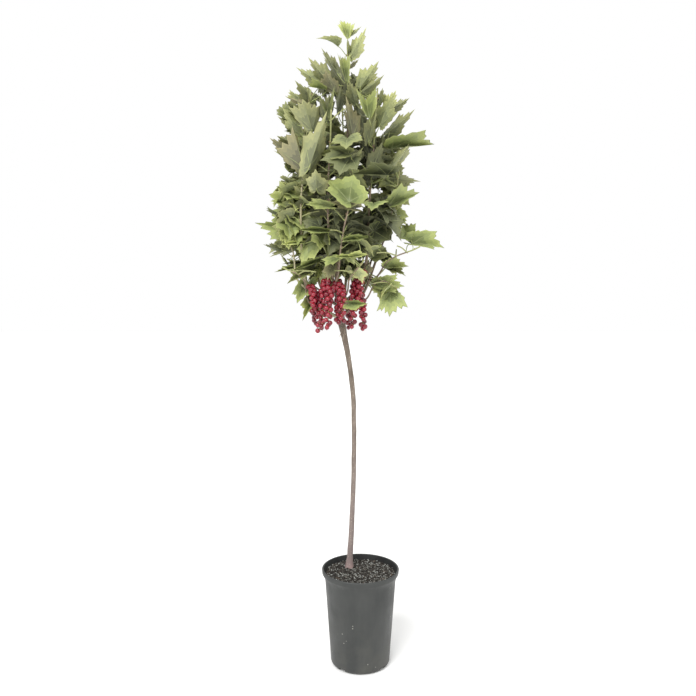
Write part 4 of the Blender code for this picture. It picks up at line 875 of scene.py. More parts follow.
def open_place(across, down, wide, tall):
    """An opening in the crown's middle plane: across, height, half width and half height, mm."""
    place = in_view(across, down, 0.0)
    scale = MILLIMETRES * view_scale(place)
    x, z = (round(MILLIMETRES * place[n]) for n in (0, 2))
    return x, z, round(wide * scale, 1), round(tall * scale, 1)


def view_limit(down, left, right):
    """Height, left and right of the crown's outline in its middle plane, mm."""
    low = in_view(left - VIEW_MARGIN, down, 0.0)
    high = in_view(right + VIEW_MARGIN, down, 0.0)
    return tuple(round(MILLIMETRES * value) for value in (low[2], low[0], high[0]))


OPENINGS = [open_place(*row) for row in SEEN_OPENINGS]
VIEW_LIMITS = [view_limit(*row) for row in reversed(SEEN_OUTLINE)]


def bezier(ends, share):
    """Point on a cubic curve."""
    a, b, c, d = ends
    rest = 1.0 - share
    return a * rest**3 + b * 3 * rest**2 * share + c * 3 * rest * share**2 + d * share**3


def aim(heading, lift):
    """Unit vector from a heading and a lift in radians."""
    flat = math.cos(lift)
    return Vector((flat * math.cos(heading), flat * math.sin(heading), math.sin(lift)))


def inner_radius(height):
    """Radius of the pot's inner wall at a height."""
    share = (height - FOOT_ROUND) / (POT_HEIGHT - LIP_HEIGHT - FOOT_ROUND)
    outer = FOOT_RADIUS + max(share, 0.0) * (SHOULDER_RADIUS - FOOT_RADIUS)
    return outer - POT_WALL


def soil_seat():
    """Middle of the flat place that the trunk stands on."""
    return Vector((*TRUNK_FOOT, POT_HEIGHT - SOIL_BELOW_RIM))


def trunk_route():
    """Points and radii of the trunk's middle line, from its flat cut on the soil to its head.

    Its points crowd together towards the foot, and it leaves the soil straight up.
    """
    foot = soil_seat() + Vector((0.0, 0.0, CLEARANCE))
    top = TRUNK_STATIONS[-1][0]
    points = []
    radii = []
    for number in range(TRUNK_POINTS):
        rise = top * (number / (TRUNK_POINTS - 1)) ** TRUNK_CROWDING
        lean_x, lean_y, width = between(TRUNK_STATIONS, rise)
        points.append(foot + Vector((lean_x, lean_y, rise)))
        radii.append(width / 2)
    points[1].x = points[0].x
    points[1].y = points[0].y
    return points, radii


def along(route, share):
    """Point, direction and radius at a share of a route's length."""
    points, radii = route
    place = share * (len(points) - 1)
    index = min(int(place), len(points) - 2)
    rest = place - index
    here = points[index].lerp(points[index + 1], rest)
    ahead = (points[index + 1] - points[index]).normalized()
    return here, ahead, radii[index] + rest * (radii[index + 1] - radii[index])


def raised(height):
    """A move straight up."""
    return Vector((0.0, 0.0, height))


def squared(direction, ahead):
    """A direction turned square to another."""
    return (direction - ahead * direction.dot(ahead)).normalized()


def seat_on(carrier_tree, start, ahead, radius):
    """Where a limb's end lies one clearance off its carrier, moved along its own direction."""
    side = ahead.orthogonal().normalized()
    for _ in range(SEAT_PASSES):
        rim = [start]
        for turn in range(RIM_STEPS):
            angle = turn * math.tau / RIM_STEPS
            rim.append(start + radius * (math.cos(angle) * side + math.sin(angle) * ahead.cross(side)))
        nearest = min(carrier_tree.find_nearest(point)[3] for point in rim)
        start = start + ahead * (CLEARANCE + SEAT_MARGIN - nearest)
    return start


def limb_points(start, leave, rise, end, tip, radius, swing):
    """Points of a limb: straight out through its collar, then one curve to its tip."""
    span = (tip - start).length
    collar = start + leave * radius * COLLAR_LENGTH
    ends = (collar, collar + rise * span * swing, tip - end * span * swing, tip)
    return [start] + [bezier(ends, number / (LIMB_POINTS - 2)) for number in range(LIMB_POINTS - 1)]


def limb_route(carrier, carrier_tree, share, heading, tip, lift, radius, upward):
    """Route of a tapering limb from its carrier's side, or from its end, to its own tip.

    upward says how far the limb turns up as it leaves.
    """
    here, ahead, width = along(carrier, share)
    if share == 1.0:
        start = here + ahead * CLEARANCE
        leave = ahead
    else:
        leave = aim(math.radians(heading), BOUGH_CROTCH)
        leave = (leave - ahead * leave.dot(ahead) * BOUGH_SQUARENESS).normalized()
        start = seat_on(carrier_tree, here + leave * (width + BOUGH_OFF * radius), leave, radius)
    tip = Vector(tip)
    outward = tip - start
    end = aim(math.atan2(outward.y, outward.x), math.radians(lift))
    rise = leave.lerp(raised(1.0), upward).normalized()
    loss = (1.0 - BOUGH_TAPER) / (LIMB_POINTS - 1)
    radii = [radius * (1.0 - loss * number) for number in range(LIMB_POINTS)]
    return limb_points(start, leave, rise, end, tip, radius, BOUGH_SWING), radii


def leaf_pitch(height):
    """How far a leaf's blade points up at a height, in radians."""
    return math.radians(between(PITCH_BY_HEIGHT, height)[0])


def twig_shape(points, radii):
    """Points and faces of a closed three-sided twig."""
    rows = []
    for number, (point, radius) in enumerate(zip(points, radii)):
        ahead = (points[min(number + 1, len(points) - 1)] - points[max(number - 1, 0)]).normalized()
        side = ahead.cross(Vector(TWIG_UPPER)).normalized()
        rows.append([])
        for corner in range(3):
            angle = corner * math.tau / 3
            rows[-1].append(point + radius * (math.cos(angle) * side + math.sin(angle) * side.cross(ahead)))
    shape = [p for row in rows for p in row]
    faces = [(0, 1, 2)]
    for row in range(len(points) - 1):
        low = 3 * row
        for a, b in ((0, 1), (1, 2), (2, 0)):
            faces.append((low + b, low + a, low + a + 3))
            faces.append((low + b, low + a + 3, low + b + 3))
    top = 3 * (len(points) - 1)
    faces.append((top + 2, top + 1, top))
    return shape, faces


def leaf_shape(root, end, axis, upper, length, swell=1.0):
    """Points and faces of one leaf: a petiole from its root to its end, and a lobed blade.

    swell thickens the blade, for tests of clearance.
    """
    side = axis.cross(upper).normalized()
    thick = LEAF_THICKNESS * length * swell
    stalk = (end - root).normalized()
    stalk_side = stalk.cross(upper).normalized()
    stalk_up = stalk_side.cross(stalk)
    points = []
    ends = ((root, stalk_up, stalk_side, PETIOLE_RADIUS), (end, upper, side, thick / 2))
    for place, up, across, width in ends:
        points.append(place + up * width)
        points.append(place + (across - up) * width * PETIOLE_FLATNESS)
        points.append(place - (across + up) * width * PETIOLE_FLATNESS)
    turns = [(-degrees, share) for degrees, share in LEAF_OUTLINE[:0:-1]] + list(LEAF_OUTLINE)
    for degrees, share in turns:
        angle = math.radians(degrees)
        forward = math.cos(angle) * share
        across = -math.sin(angle) * share
        height = LEAF_FOLD * abs(across) - LEAF_DROOP * forward * abs(forward)
        points.append(end + (axis * forward + side * across + upper * height) * length)
    faces = [(0, 2, 1)]
    for a, b in ((0, 1), (1, 2), (2, 0)):
        faces.append((a, b + 3, a + 3))
        faces.append((a, b, b + 3))
    crest, left, right = range(3, PETIOLE_CORNERS)
    middle = PETIOLE_CORNERS + len(turns) // 2
    last = len(points) - 1
    for first in range(PETIOLE_CORNERS, last):
        faces.append((crest, first, first + 1))
        faces.append((left if first < middle else right, first + 1, first))
    faces += [(left, right, middle), (crest, left, PETIOLE_CORNERS), (crest, last, right)]
    return points, faces


def inside_crown(point):
    """Whether a point lies inside the crown's outline."""
    if point.z < CROWN_OUTLINE[0][0] or point.z > CROWN_OUTLINE[-1][0]:
        return False
    left, right, deep = between(CROWN_OUTLINE, point.z)
    across = point.x - CROWN_AXIS[0]
    reach = right if across > 0 else left
    return (across / reach) ** 2 + ((point.y - CROWN_AXIS[1]) / deep) ** 2 <= 1.0


def ball_round(points):
    """Middle and radius of the ball round some points."""
    middle = sum(points, Vector()) / len(points)
    return middle, max((p - middle).length for p in points)


class Crown:
    """What already stands in the crown, and the space of each mass."""

    def __init__(self):
        self.taken = []
        self.owners = []
        self.starts = []
        self.spans = []

    def claim(self, owner, line):
        """Give a mass the space round a line of points."""
        for a, b in zip(line, line[1:]):
            self.owners.append(owner)
            self.starts.append(tuple(a))
            self.spans.append(tuple(b - a))

    def add(self, owner, kind, points, faces):
        """Note a solid that later leaves keep clear of."""
        self.taken.append((owner, kind, *ball_round(points), BVHTree.FromPolygons(points, faces)))

    def free(self, owner, points, faces, own_kinds):
        """Whether a solid crosses nothing, its own mass's parts of the kinds given among them."""
        middle, radius = ball_round(points)
        tree = None
        for who, kind, there, size, other in self.taken:
            if who == owner and kind not in own_kinds:
                continue
            if (there - middle).length > size + radius:
                continue
            tree = tree or BVHTree.FromPolygons(points, faces)
            if tree.overlap(other):
                return False
        return True

    def owns(self, owner, points):
        """Whether points keep to a mass's own space: its lines are the nearest, within SPACE_SLACK."""
        starts = np.array(self.starts)
        spans = np.array(self.spans)
        mine = np.array([name == owner for name in self.owners])
        away = np.array([tuple(p) for p in points])[:, None, :] - starts[None]
        share = np.clip((away * spans).sum(axis=2) / (spans**2).sum(axis=1), 0.0, 1.0)
        far = np.linalg.norm(away - share[:, :, None] * spans, axis=2)
        return bool(np.all(far[:, mine].min(axis=1) < far[:, ~mine].min(axis=1) + SPACE_SLACK))


def blade_frame(heading, pitch, roll):
    """A blade's axis and upper direction from its heading, pitch and roll."""
    axis = aim(heading, pitch)
    upper = aim(heading + math.pi, math.pi / 2 - pitch)
    side = axis.cross(upper)
    return axis, (upper * math.cos(roll) + side * math.sin(roll)).normalized()


def clear_of_root(site, toward, radius):
    """Where a straight run from a site comes clear of the stem or twig that it grows on.

    A site is its point, its stem's direction and radius there, and whether it is the stem's end.
    """
    away = (toward - site[0]).normalized()
    slant = 1.0 if site[3] else max(away.cross(site[1]).length, LEAST_SLANT)
    return site[0] + away * (site[2] + radius + ROOT_MARGIN) / slant


def stem_route(bough, tip):
    """Route of a mass's stem, from one clearance past its bough's tip."""
    here, ahead, radius = along(bough, 1.0)
    start = here + ahead * CLEARANCE
    tip = Vector(tip)
    end = (tip - start).normalized().lerp(raised(1.0), STEM_UPWARD).normalized()
    loss = (radius - STEM_TIP_RADIUS) / (LIMB_POINTS - 1)
    radii = [radius - loss * number for number in range(LIMB_POINTS)]
    return limb_points(start, ahead, ahead, end, tip, radius, STEM_SWING), radii


def best_sites(route, tip, pitch, length):
    """Sites on a stem for a leaf with that tip and pitch, the best first."""
    found = []
    for step in range(SITE_FIRST, SITE_STEPS + 1):
        here, ahead, radius = along(route, step / SITE_STEPS)
        toward = tip - here
        climb = math.atan2(toward.z, math.hypot(toward.x, toward.y))
        cost = abs(climb - pitch) + SITE_NEARNESS * abs(toward.length - SITE_REACH * length)
        found.append((cost, step, (here, ahead, radius, step == SITE_STEPS)))
    found.sort(key=lambda entry: entry[:2])
    return [entry[2] for entry in found[:SITE_CHOICES]]


def twig_is_free(crown, name, twig, site):
    """Whether a twig crosses nothing once it is out of its stem."""
    root = clear_of_root(site, twig[1], TWIG_ROOT_RADIUS)
    if (root - twig[0]).length > TWIG_HIDDEN * (twig[1] - twig[0]).length:
        return False
    wide = twig_shape([root, twig[1], twig[2]], [TEST_SWELL * TWIG_ROOT_RADIUS] * 3)
    whole = twig_shape(twig, TWIG_RADII)
    return crown.free(name, *wide, ("blade", "twig")) and crown.free(name, *whole, ())


def free_twig(crown, dice, name, route, heading, share, length):
    """A twig from the stem that keeps to its mass's space, or None."""
    here, ahead, radius = along(route, share)
    for attempt in range(TWIG_TRIES):
        reach = length * dice.uniform(*TWIG_SIZES) * ROOM_STEP ** (attempt // TWIG_TRIES_PER_SIZE)
        turn = heading + dice.uniform(-TWIG_SPREAD, TWIG_SPREAD)
        lift = TWIG_LIFT[0] * leaf_pitch(here.z) + dice.uniform(0.0, TWIG_LIFT[1])
        end = here + aim(turn, lift) * reach
        twig = [here, here.lerp(end, 0.5) + raised(TWIG_ARCH * reach), end]
        inside = inside_crown(end) and crown.owns(name, [end])
        if inside and twig_is_free(crown, name, twig, (here, ahead, radius, False)):
            return twig
    return None


def note_twig(crown, name, twigs, twig):
    """Add a twig to its mass, and to what later leaves keep clear of."""
    twigs.append(twig)
    points, faces = twig_shape(twig, TWIG_RADII)
    crown.add(name, "twig", points, faces)


def truss_route(carrier, carrier_tree, share, heading, length):
    """Route of a truss's stalk: out of its bough, over and straight down."""
    here, ahead, width = along(carrier, share)
    level = aim(math.radians(heading), 0.0)
    leave = squared(level, ahead)
    start = seat_on(carrier_tree, here + leave * (width + STRIG_OFF * STRIG_RADIUS), leave, STRIG_RADIUS)
    out = level * STRIG_REACH
    drop = raised(-length)
    ends = (start, start + leave * STRIG_REACH, start + out + drop * STRIG_SWING, start + out + drop)
    points = [bezier(ends, number / (STRIG_POINTS - 1)) for number in range(STRIG_POINTS)]
    return points, [STRIG_RADIUS] * STRIG_POINTS


def new_object(name, data):
    """A new object in the scene."""
    thing = bpy.data.objects.new(name, data)
    bpy.context.scene.collection.objects.link(thing)
    return thing


def taken_out(shape):
    """Points and faces of a working mesh, which is then freed."""
    points = [v.co.copy() for v in shape.verts]
    faces = [tuple(v.index for v in f.verts) for f in shape.faces]
    shape.free()
    return points, faces


def icosphere(subdivisions, radius):
    """Points and faces of a ball about the origin."""
    shape = bmesh.new()
    bmesh.ops.create_icosphere(shape, subdivisions=subdivisions, radius=radius)
    return taken_out(shape)


def solid_tube(points, radii, bevel):
    """Points and faces of a closed tapering tube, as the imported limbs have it."""
    curve = bpy.data.curves.new("guide", "CURVE")
    curve.dimensions = "3D"
    curve.bevel_depth = 1.0
    curve.bevel_resolution = bevel
    curve.use_fill_caps = True
    spline = curve.splines.new("POLY")
    spline.points.add(len(points) - 1)
    for knot, point, radius in zip(spline.points, points, radii):
        knot.co = (*point, 1.0)
        knot.radius = radius
    guide = new_object("guide", curve)
    graph = bpy.context.evaluated_depsgraph_get()
    mesh = bpy.data.meshes.new_from_object(guide.evaluated_get(graph))
    bpy.data.objects.remove(guide, do_unlink=True)
    bpy.data.curves.remove(curve)
    shape = bmesh.new()
    shape.from_mesh(mesh)
    bpy.data.meshes.remove(mesh)
    bmesh.ops.remove_doubles(shape, verts=shape.verts, dist=SAME_PLACE)
    bmesh.ops.triangulate(shape, faces=shape.faces)
    bmesh.ops.recalc_face_normals(shape, faces=shape.faces)
    return taken_out(shape)


def check_leaf(crown, name, site, end, axis, upper, length, keep_in):
    """A leaf's solid and its measures if it has room, or else None."""
    points, faces = leaf_shape(site[0], end, axis, upper, length)
    blade = points[PETIOLE_CORNERS:]
    if keep_in and not all(inside_crown(point) for point in blade):
        return None
    if not crown.owns(name, blade):
        return None
    clear_root = clear_of_root(site, end, PETIOLE_RADIUS)
    if (clear_root - site[0]).length > PETIOLE_HIDDEN * (end - site[0]).length:
        return None
    wide = leaf_shape(clear_root, end, axis, upper, length * TEST_GROWTH, TEST_SWELL)
    if not crown.free(name, *wide, ("blade", "twig")) or not crown.free(name, points, faces, ()):
        return None
    return (points, faces), Leaf(site, end, axis, upper, length, None, None, 0.0)


def make_bough(crown, row, carrier, carrier_tree):
    """Route and solid of a bough, turned up as far as it can be without crossing another limb."""
    name, share, heading, tip, lift, radius = row[0], *row[2:]
    for upward in BOUGH_UPWARD:
        route = limb_route(carrier, carrier_tree, share, heading, tip, lift, radius, upward)
        solid = solid_tube(*route, BOUGH_BEVEL)
        if crown.free(name, *solid, ()):
            break
    return route, solid


def hang(height):
    """How far a leaf's blade hangs below its stalk's own slope, so that it turns its face outwards."""
    return math.radians(between(HANG_BY_HEIGHT, height)[0])


def behind_front(place):
    """Whether a place lies behind the leaves that turn to the front."""
    left, right, deep = between(CROWN_OUTLINE, place.z)
    middle = CROWN_AXIS[0] + (right - left) / 2
    across = min(2.0 * abs(place.x - middle) / (left + right), 1.0)
    return place.y > -between(FRONT_DEPTHS, place.z)[0] * deep * math.sqrt(1.0 - across**2)


def keeps_view(end, axis, upper, length):
    """Whether a leaf stands behind the front ones and leaves the open places open."""
    if not behind_front(end) or not behind_front(end + axis * length * BLADE_MIDDLE):
        return False
    side = axis.cross(upper)
    eye = Vector(CAMERA_PLACE)
    for ahead, aside in VIEW_SPOTS:
        spot = end + (axis * ahead + side * aside) * length
        crossing = eye + (spot - eye) * (eye.y / (eye.y - spot.y))
        x = MILLIMETRES * crossing.x
        z = MILLIMETRES * crossing.z
        left, right = between(VIEW_LIMITS, z)
        if not left < x < right:
            return False
        for across, height, wide, tall in OPENINGS:
            if ((x - across) / wide)**2 + ((z - height) / tall)**2 < OPENING_MARGIN:
                return False
    return True


def carrier_of(wood, end, axis):
    """The place on the wood that best carries a leaf: near, below it and in line with it."""
    best = None
    for here in wood:
        span = (end - here[0]).length
        if span < STALK_SHORTEST:
            continue
        away = (end - here[0]) / span
        cost = span + STALK_RISE_COST * (1.0 - away.z) + STALK_TURN_COST * (1.0 - away.dot(axis))
        if best is None or cost < best[0]:
            best = (cost, here, span)
    return best[1:]


def stalk_twig(here, end, stalk):
    """A twig from a place on the wood to a stalk's length short of a leaf, and the leaf's site on it."""
    root = end.lerp(here[0], stalk / (end - here[0]).length)
    middle = here[0].lerp(root, 0.5) + raised(TWIG_ARCH * (root - here[0]).length)
    return [here[0], middle, root], (root, (root - middle).normalized(), TWIG_TIP_RADIUS, True)


def unit(direction):
    """A direction at length one."""
    return direction / np.linalg.norm(direction)


def leaf_start(across, down, layer):
    """Where a blade starts, from its pixel and its layer: 0 in the crown's middle plane, 1 near its front."""
    left, right = between(SEEN_OUTLINE, down)
    half = (right - left) / 2
    aside = min(abs(across - (left + right) / 2) / half, LAYER_EDGE)
    return in_view(across, down, -layer * LAYER_DEPTH * half * VIEW_PIXEL * math.sqrt(1.0 - aside**2))


def seen_leaf(root, tip, left, right, length, face, layer):
    """Start, midrib and left and right lobes of a leaf, from what the view shows of it.

    Where its length is more than the span seen, it leans out of the view's plane.
    """
    start = leaf_start(*root, layer)
    scale = view_scale(start)
    rib = view_move(root, tip, scale)
    span = np.linalg.norm(rib)
    longest = TOP_LONGEST if face == "top" and tip[1] <= root[1] else SEEN_LONGEST
    length = max(min(length / MILLIMETRES, longest * span), SEEN_SHORTEST * span)
    lean = math.sqrt(length**2 - span**2)
    rising = tip[1] < root[1] - SEEN_RISING
    if face == "edge" or (face == "under") == rising:
        lean = -lean
    least, most = (share * length for share in SEEN_LOBE_DEPTHS)
    middle = SEEN_LOBE_LEAN * lean
    lobes = []
    for place, away in ((left, face == "under"), (right, face != "top")):
        flat = view_move(root, place, scale)
        reach = math.sqrt(max((SEEN_LOBE * length)**2 - flat @ flat, 0.0))
        if away:
            depth = max(middle + least, min(reach, middle + most))
        else:
            depth = min(middle - least, max(-reach, middle - most))
        lobes.append(flat + VIEW_AHEAD * depth)
    return start, (rib + VIEW_AHEAD * lean) / SEEN_TIP, *lobes


def shaded_leaf(root, tip, length, facing, turn, layer, closed):
    """Start, midrib and left and right lobes of a leaf that leans to the view, from its midrib in it."""
    start = leaf_start(*root, layer)
    flat = view_move(root, tip, view_scale(start))
    span = np.linalg.norm(flat)
    length /= MILLIMETRES
    if closed > SHADED_CLOSED:
        length = min(length, SHADED_LONGEST * span)
    length = max(length, SEEN_SHORTEST * span)
    axis = unit(flat - VIEW_AHEAD * min(math.sqrt(length**2 - span**2), SHADED_LEAN * length))
    towards = unit(VIEW_EYE - start) if facing == "view" else np.array((0.0, 0.0, 1.0))
    face = unit(towards - axis * (towards @ axis))
    turn = math.radians(turn)
    upper = face * math.cos(turn) + np.cross(axis, face) * math.sin(turn)
    return start, axis * length, *folded_tips(Vector(axis), Vector(upper), length, closed)


def front_leaves():
    """Places of the front's leaves to the millimetre, with their tints and how much of each is missing."""
    found = [(seen_leaf(*row), tint, missing) for *row, tint, missing in SEEN_LEAVES]
    for *row, tint in SHADED_LEAVES:
        found.append((shaded_leaf(*row), tint, round(SHADED_LOSS * row[-1], 2)))
    for places, tint, missing in found:
        whole = [Vector([round(MILLIMETRES * value) for value in place]) / MILLIMETRES for place in places]
        yield *whole, tint, missing


def grow_front(crown, routes, stems):
    """The leaves that turn to the front, each on a stalk from the nearest wood, and their twigs."""
    wood = []
    for rows, carriers, start in ((BOUGHS, routes, WOOD_FROM), (MASSES, stems, 0.0)):
        for row in rows:
            for step in range(WOOD_PLACES):
                share = start + (1.0 - start) * step / WOOD_PLACES
                wood.append((*along(carriers[row[0]], share), False))
    leaves = []
    twigs = []
    for end, rib, left, right, tint, missing in front_leaves():
        length = rib.length
        axis = rib / length
        upper = squared(rib.cross(left) + right.cross(rib), axis)
        site, span = carrier_of(wood, end, axis)
        if span > STALK_LONGEST:
            twig, site = stalk_twig(site, end, STALK_LENGTH)
            twigs.append(twig)
        leaves.append(Leaf(site, end, axis, upper, length, tint, (left, right), missing))
        crown.add("front", "blade", *leaf_shape(site[0], end, axis, upper, length))
    return leaves, twigs


def aimed_leaf(crown, name, route, row, length):
    """A leaf whose tip lies at a named place, and its twig where it is far from the stem."""
    tip = Vector(row[:3])
    pitch = math.radians(row[3])
    for size in AIMED_SIZES:
        blade = length * size
        for here in best_sites(route, tip, pitch, length):
            heading = math.atan2(tip.y - here[0].y, tip.x - here[0].x)
            for roll in LEAF_ROLLS:
                axis, upper = blade_frame(heading, pitch, math.radians(row[4]) + roll)
                end = tip - (axis - upper * LEAF_DROOP) * blade
                site = here
                twig = None
                if (end - here[0]).length > length * AIMED_REACH:
                    twig, site = stalk_twig(here, end, length * AIMED_PETIOLE)
                found = check_leaf(crown, name, site, end, axis, upper, blade, False)
                if found and (twig is None or twig_is_free(crown, name, twig, here)):
                    return found, twig
    return None, None


def rule_leaf(dice, site, turn, size, stalks):
    """End, axis and upper direction of a leaf that hangs on a site by its height and by chance."""
    pitch = leaf_pitch(site[0].z + PITCH_ABOVE) + dice.uniform(-PITCH_SPREAD, PITCH_SPREAD)
    roll = dice.uniform(-ROLL_SPREAD, ROLL_SPREAD)
    axis, upper = blade_frame(turn, pitch + hang(site[0].z), roll)
    petiole = size * PETIOLE_SHARE * dice.uniform(*stalks)
    return site[0] + aim(turn, pitch + PETIOLE_RISE) * petiole, axis, upper


def spiral_leaf(crown, dice, name, site, heading, length):
    """A leaf at a site, turned and made smaller until it has room, or None."""
    for attempt in range(LEAF_TRIES):
        size = length * dice.uniform(*LEAF_SIZES) * ROOM_STEP ** (attempt // TRIES_PER_SIZE)
        spread = 1 + attempt // TRIES_PER_SPREAD
        turn = heading + dice.uniform(-HEADING_SPREAD, HEADING_SPREAD) * spread
        end, axis, upper = rule_leaf(dice, site, turn, size, PETIOLE_SIZES)
        found = check_leaf(crown, name, site, end, axis, upper, size, True)
        if found and keeps_view(end, axis, upper, size):
            return found
    return None


def keep_leaf(crown, name, leaves, found):
    """Add a leaf that has room to its mass, and to what later leaves keep clear of."""
    if found:
        leaves.append(found[1])
        crown.add(name, "blade", *found[0])


def grow_mass(crown, row, route):
    """Leaves and twigs of one mass: its furthest tips first, then a spiral up its stem and twigs."""
    name, _, _, seed, wanted, length, tips = row
    dice = random.Random(seed)
    leaves = []
    twigs = []
    for place in tips:
        if place[1] < FRONT_KEPT:
            continue
        found, twig = aimed_leaf(crown, name, route, place, length)
        if found and keeps_view(*found[1][1:5]):
            keep_leaf(crown, name, leaves, found)
            if twig:
                note_twig(crown, name, twigs, twig)
    heading = dice.uniform(0.0, math.tau)
    low, high = TWIG_PLACES
    for number in range(TWIGS_PER_MASS):
        heading += GOLDEN_ANGLE
        share = low + (high - low) * (number + 0.5) / TWIGS_PER_MASS
        twig = free_twig(crown, dice, name, route, heading, share, TWIG_LENGTH)
        if twig:
            note_twig(crown, name, twigs, twig)
    sites = []
    for number in range(wanted):
        share = FIRST_LEAF + (1.0 - FIRST_LEAF) * number / (wanted - 1)
        scale = 1.0 if share < YOUNG_FROM else YOUNG_SCALE
        sites.append(((*along(route, share), number == wanted - 1), scale))
    for twig in twigs:
        for share in TWIG_SITES:
            sites.append(((*along((twig, TWIG_RADII), share), share == TWIG_SITES[-1]), YOUNG_SCALE))
    for site, scale in sites:
        heading += GOLDEN_ANGLE
        keep_leaf(crown, name, leaves, spiral_leaf(crown, dice, name, site, heading, length * scale))
    return leaves, twigs


def grow_finer(crown, row, route, twigs):
    """The rule carried on: finer twigs, and smaller leaves wherever a mass still has room."""
    name, _, _, seed, _, length, _ = row
    dice = random.Random(seed + FINER_SEED)
    leaves = []
    fine = []
    heading = dice.uniform(0.0, math.tau)
    for number in range(FINER_TWIGS):
        heading += GOLDEN_ANGLE
        share = min((number + FINER_AHEAD) / FINER_TWIGS, FINER_LAST)
        twig = free_twig(crown, dice, name, route, heading, share, FINER_TWIG_LENGTH)
        if twig:
            note_twig(crown, name, fine, twig)
    for scale in FINER_SCALES:
        size = length * scale
        for number in range(FINER_SITES):
            heading += GOLDEN_ANGLE
            share = (number + dice.uniform(*FINER_ON_STEM)) / FINER_SITES
            site = (*along(route, share), False)
            keep_leaf(crown, name, leaves, spiral_leaf(crown, dice, name, site, heading, size))
        for twig in twigs + fine:
            heading += GOLDEN_ANGLE
            site = (*along((twig, TWIG_RADII), dice.uniform(*FINER_ON_TWIG)), False)
            keep_leaf(crown, name, leaves, spiral_leaf(crown, dice, name, site, heading, size))
    return leaves, fine


def grow_inner(routes, stems, leaves):
    """Leaves that fill the crown's inside and back, spread evenly and clear of the open places."""
    dice = random.Random(INNER_SEED)
    grown = [leaf for group in leaves.values() for leaf in group]
    middles = np.array([tuple(leaf.end + leaf.axis * leaf.length / 2) for leaf in grown])
    carriers = [(stems[name], length, 0.0) for name, *_, length, _ in MASSES]
    carriers += [(routes[row[0]], INNER_LENGTH, INNER_FROM) for row in BOUGHS]
    heading = dice.uniform(0.0, math.tau)
    inner = []
    for route, length, start in carriers:
        for number in range(INNER_SITES):
            share = start + (1.0 - start) * (number + dice.uniform(*INNER_ON_STEM)) / INNER_SITES
            site = (*along(route, share), False)
            heading += GOLDEN_ANGLE
            for attempt in range(INNER_TRIES):
                size = length * dice.uniform(*INNER_SIZES)
                turn = heading + dice.uniform(-HEADING_SPREAD, HEADING_SPREAD) * attempt
                end, axis, upper = rule_leaf(dice, site, turn, size, INNER_STALKS)
                middle = np.array(end + axis * size / 2)
                if np.linalg.norm(middles - middle, axis=1).min() < INNER_APART:
                    continue
                if end.z > INNER_HIGH or end.z < INNER_LOW and end.y < INNER_BEHIND:
                    continue
                if inside_crown(end + axis * size) and keeps_view(end, axis, upper, size):
                    inner.append(Leaf(site, end, axis, upper, size, None, None, 0.0))
                    middles = np.vstack([middles, middle])
                    break
    return inner


def grow_truss(crown, number, row, carrier, carrier_tree):
    """Route of a hanging truss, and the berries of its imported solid, kept clear of in the crown."""
    share, heading, length = row[1:]
    name = "currants_" + str(number + 1)
    for turn in TRUSS_TURNS:
        route = truss_route(carrier, carrier_tree, share, heading + turn, length)
        if crown.free(name, *twig_shape(route[0][1:], [TRUSS_ROOM] * (STRIG_POINTS - 1)), ()):
            break
    solids = [twig_shape(*route)]
    berries = round((1.0 - STRIG_BARE) * length / BERRY_STEP) + 1
    for berry in range(berries):
        place = STRIG_BARE + (1.0 - STRIG_BARE) * berry / (berries - 1)
        here, ahead = along(route, place)[:2]
        radius = BERRY_RADIUS * (1.0 - BERRY_TAPER * place)
        side = squared(aim(berry * GOLDEN_ANGLE + number, 0.0), ahead)
        middle = here + side * (radius * BERRY_OFFSET if berry < berries - 1 else 0.0)
        points, faces = icosphere(1, radius)
        points = [p + middle for p in points]
        grown = [middle + (p - middle) * BERRY_ROOM for p in points]
        if crown.free(name, grown, faces, ()):
            solids.append((points, faces))
    for points, faces in solids:
        crown.add(name, "limb", points, faces)
    return route


def grow_plant():
    """Every route, twig and leaf of the plant, by the rule that its solids grew by."""
    crown = Crown()
    routes = {"trunk": trunk_route()}
    solid = solid_tube(*routes["trunk"], TRUNK_BEVEL)
    trees = {"trunk": BVHTree.FromPolygons(*solid)}
    crown.add("trunk", "limb", *solid)
    for row in BOUGHS:
        routes[row[0]], solid = make_bough(crown, row, routes[row[1]], trees[row[1]])
        trees[row[0]] = BVHTree.FromPolygons(*solid)
        crown.add(row[0], "limb", *solid)
    trusses = []
    for number, row in enumerate(TRUSSES):
        trusses.append(grow_truss(crown, number, row, routes[row[0]], trees[row[0]]))
    stems = {}
    for name, bough, top, *_, length, tips in MASSES:
        stems[name] = stem_route(routes[bough], top)
        crown.claim(name, stems[name][0])
        for tip in tips:
            here = best_sites(stems[name], Vector(tip[:3]), math.radians(tip[3]), length)[0][0]
            crown.claim(name, [here, Vector(tip[:3])])
        crown.add(name, "twig", *solid_tube(*stems[name], BOUGH_BEVEL))
    leaves = {}
    twigs = {}
    leaves["front"], twigs["front"] = grow_front(crown, routes, stems)
    for row in MASSES:
        leaves[row[0]], twigs[row[0]] = grow_mass(crown, row, stems[row[0]])
    for row in MASSES:
        more, fine = grow_finer(crown, row, stems[row[0]], twigs[row[0]])
        leaves[row[0]] += more
        twigs[row[0]] += fine
    leaves["inner"] = grow_inner(routes, stems, leaves)
    twigs["inner"] = []
    return routes, stems, trusses, leaves, twigs


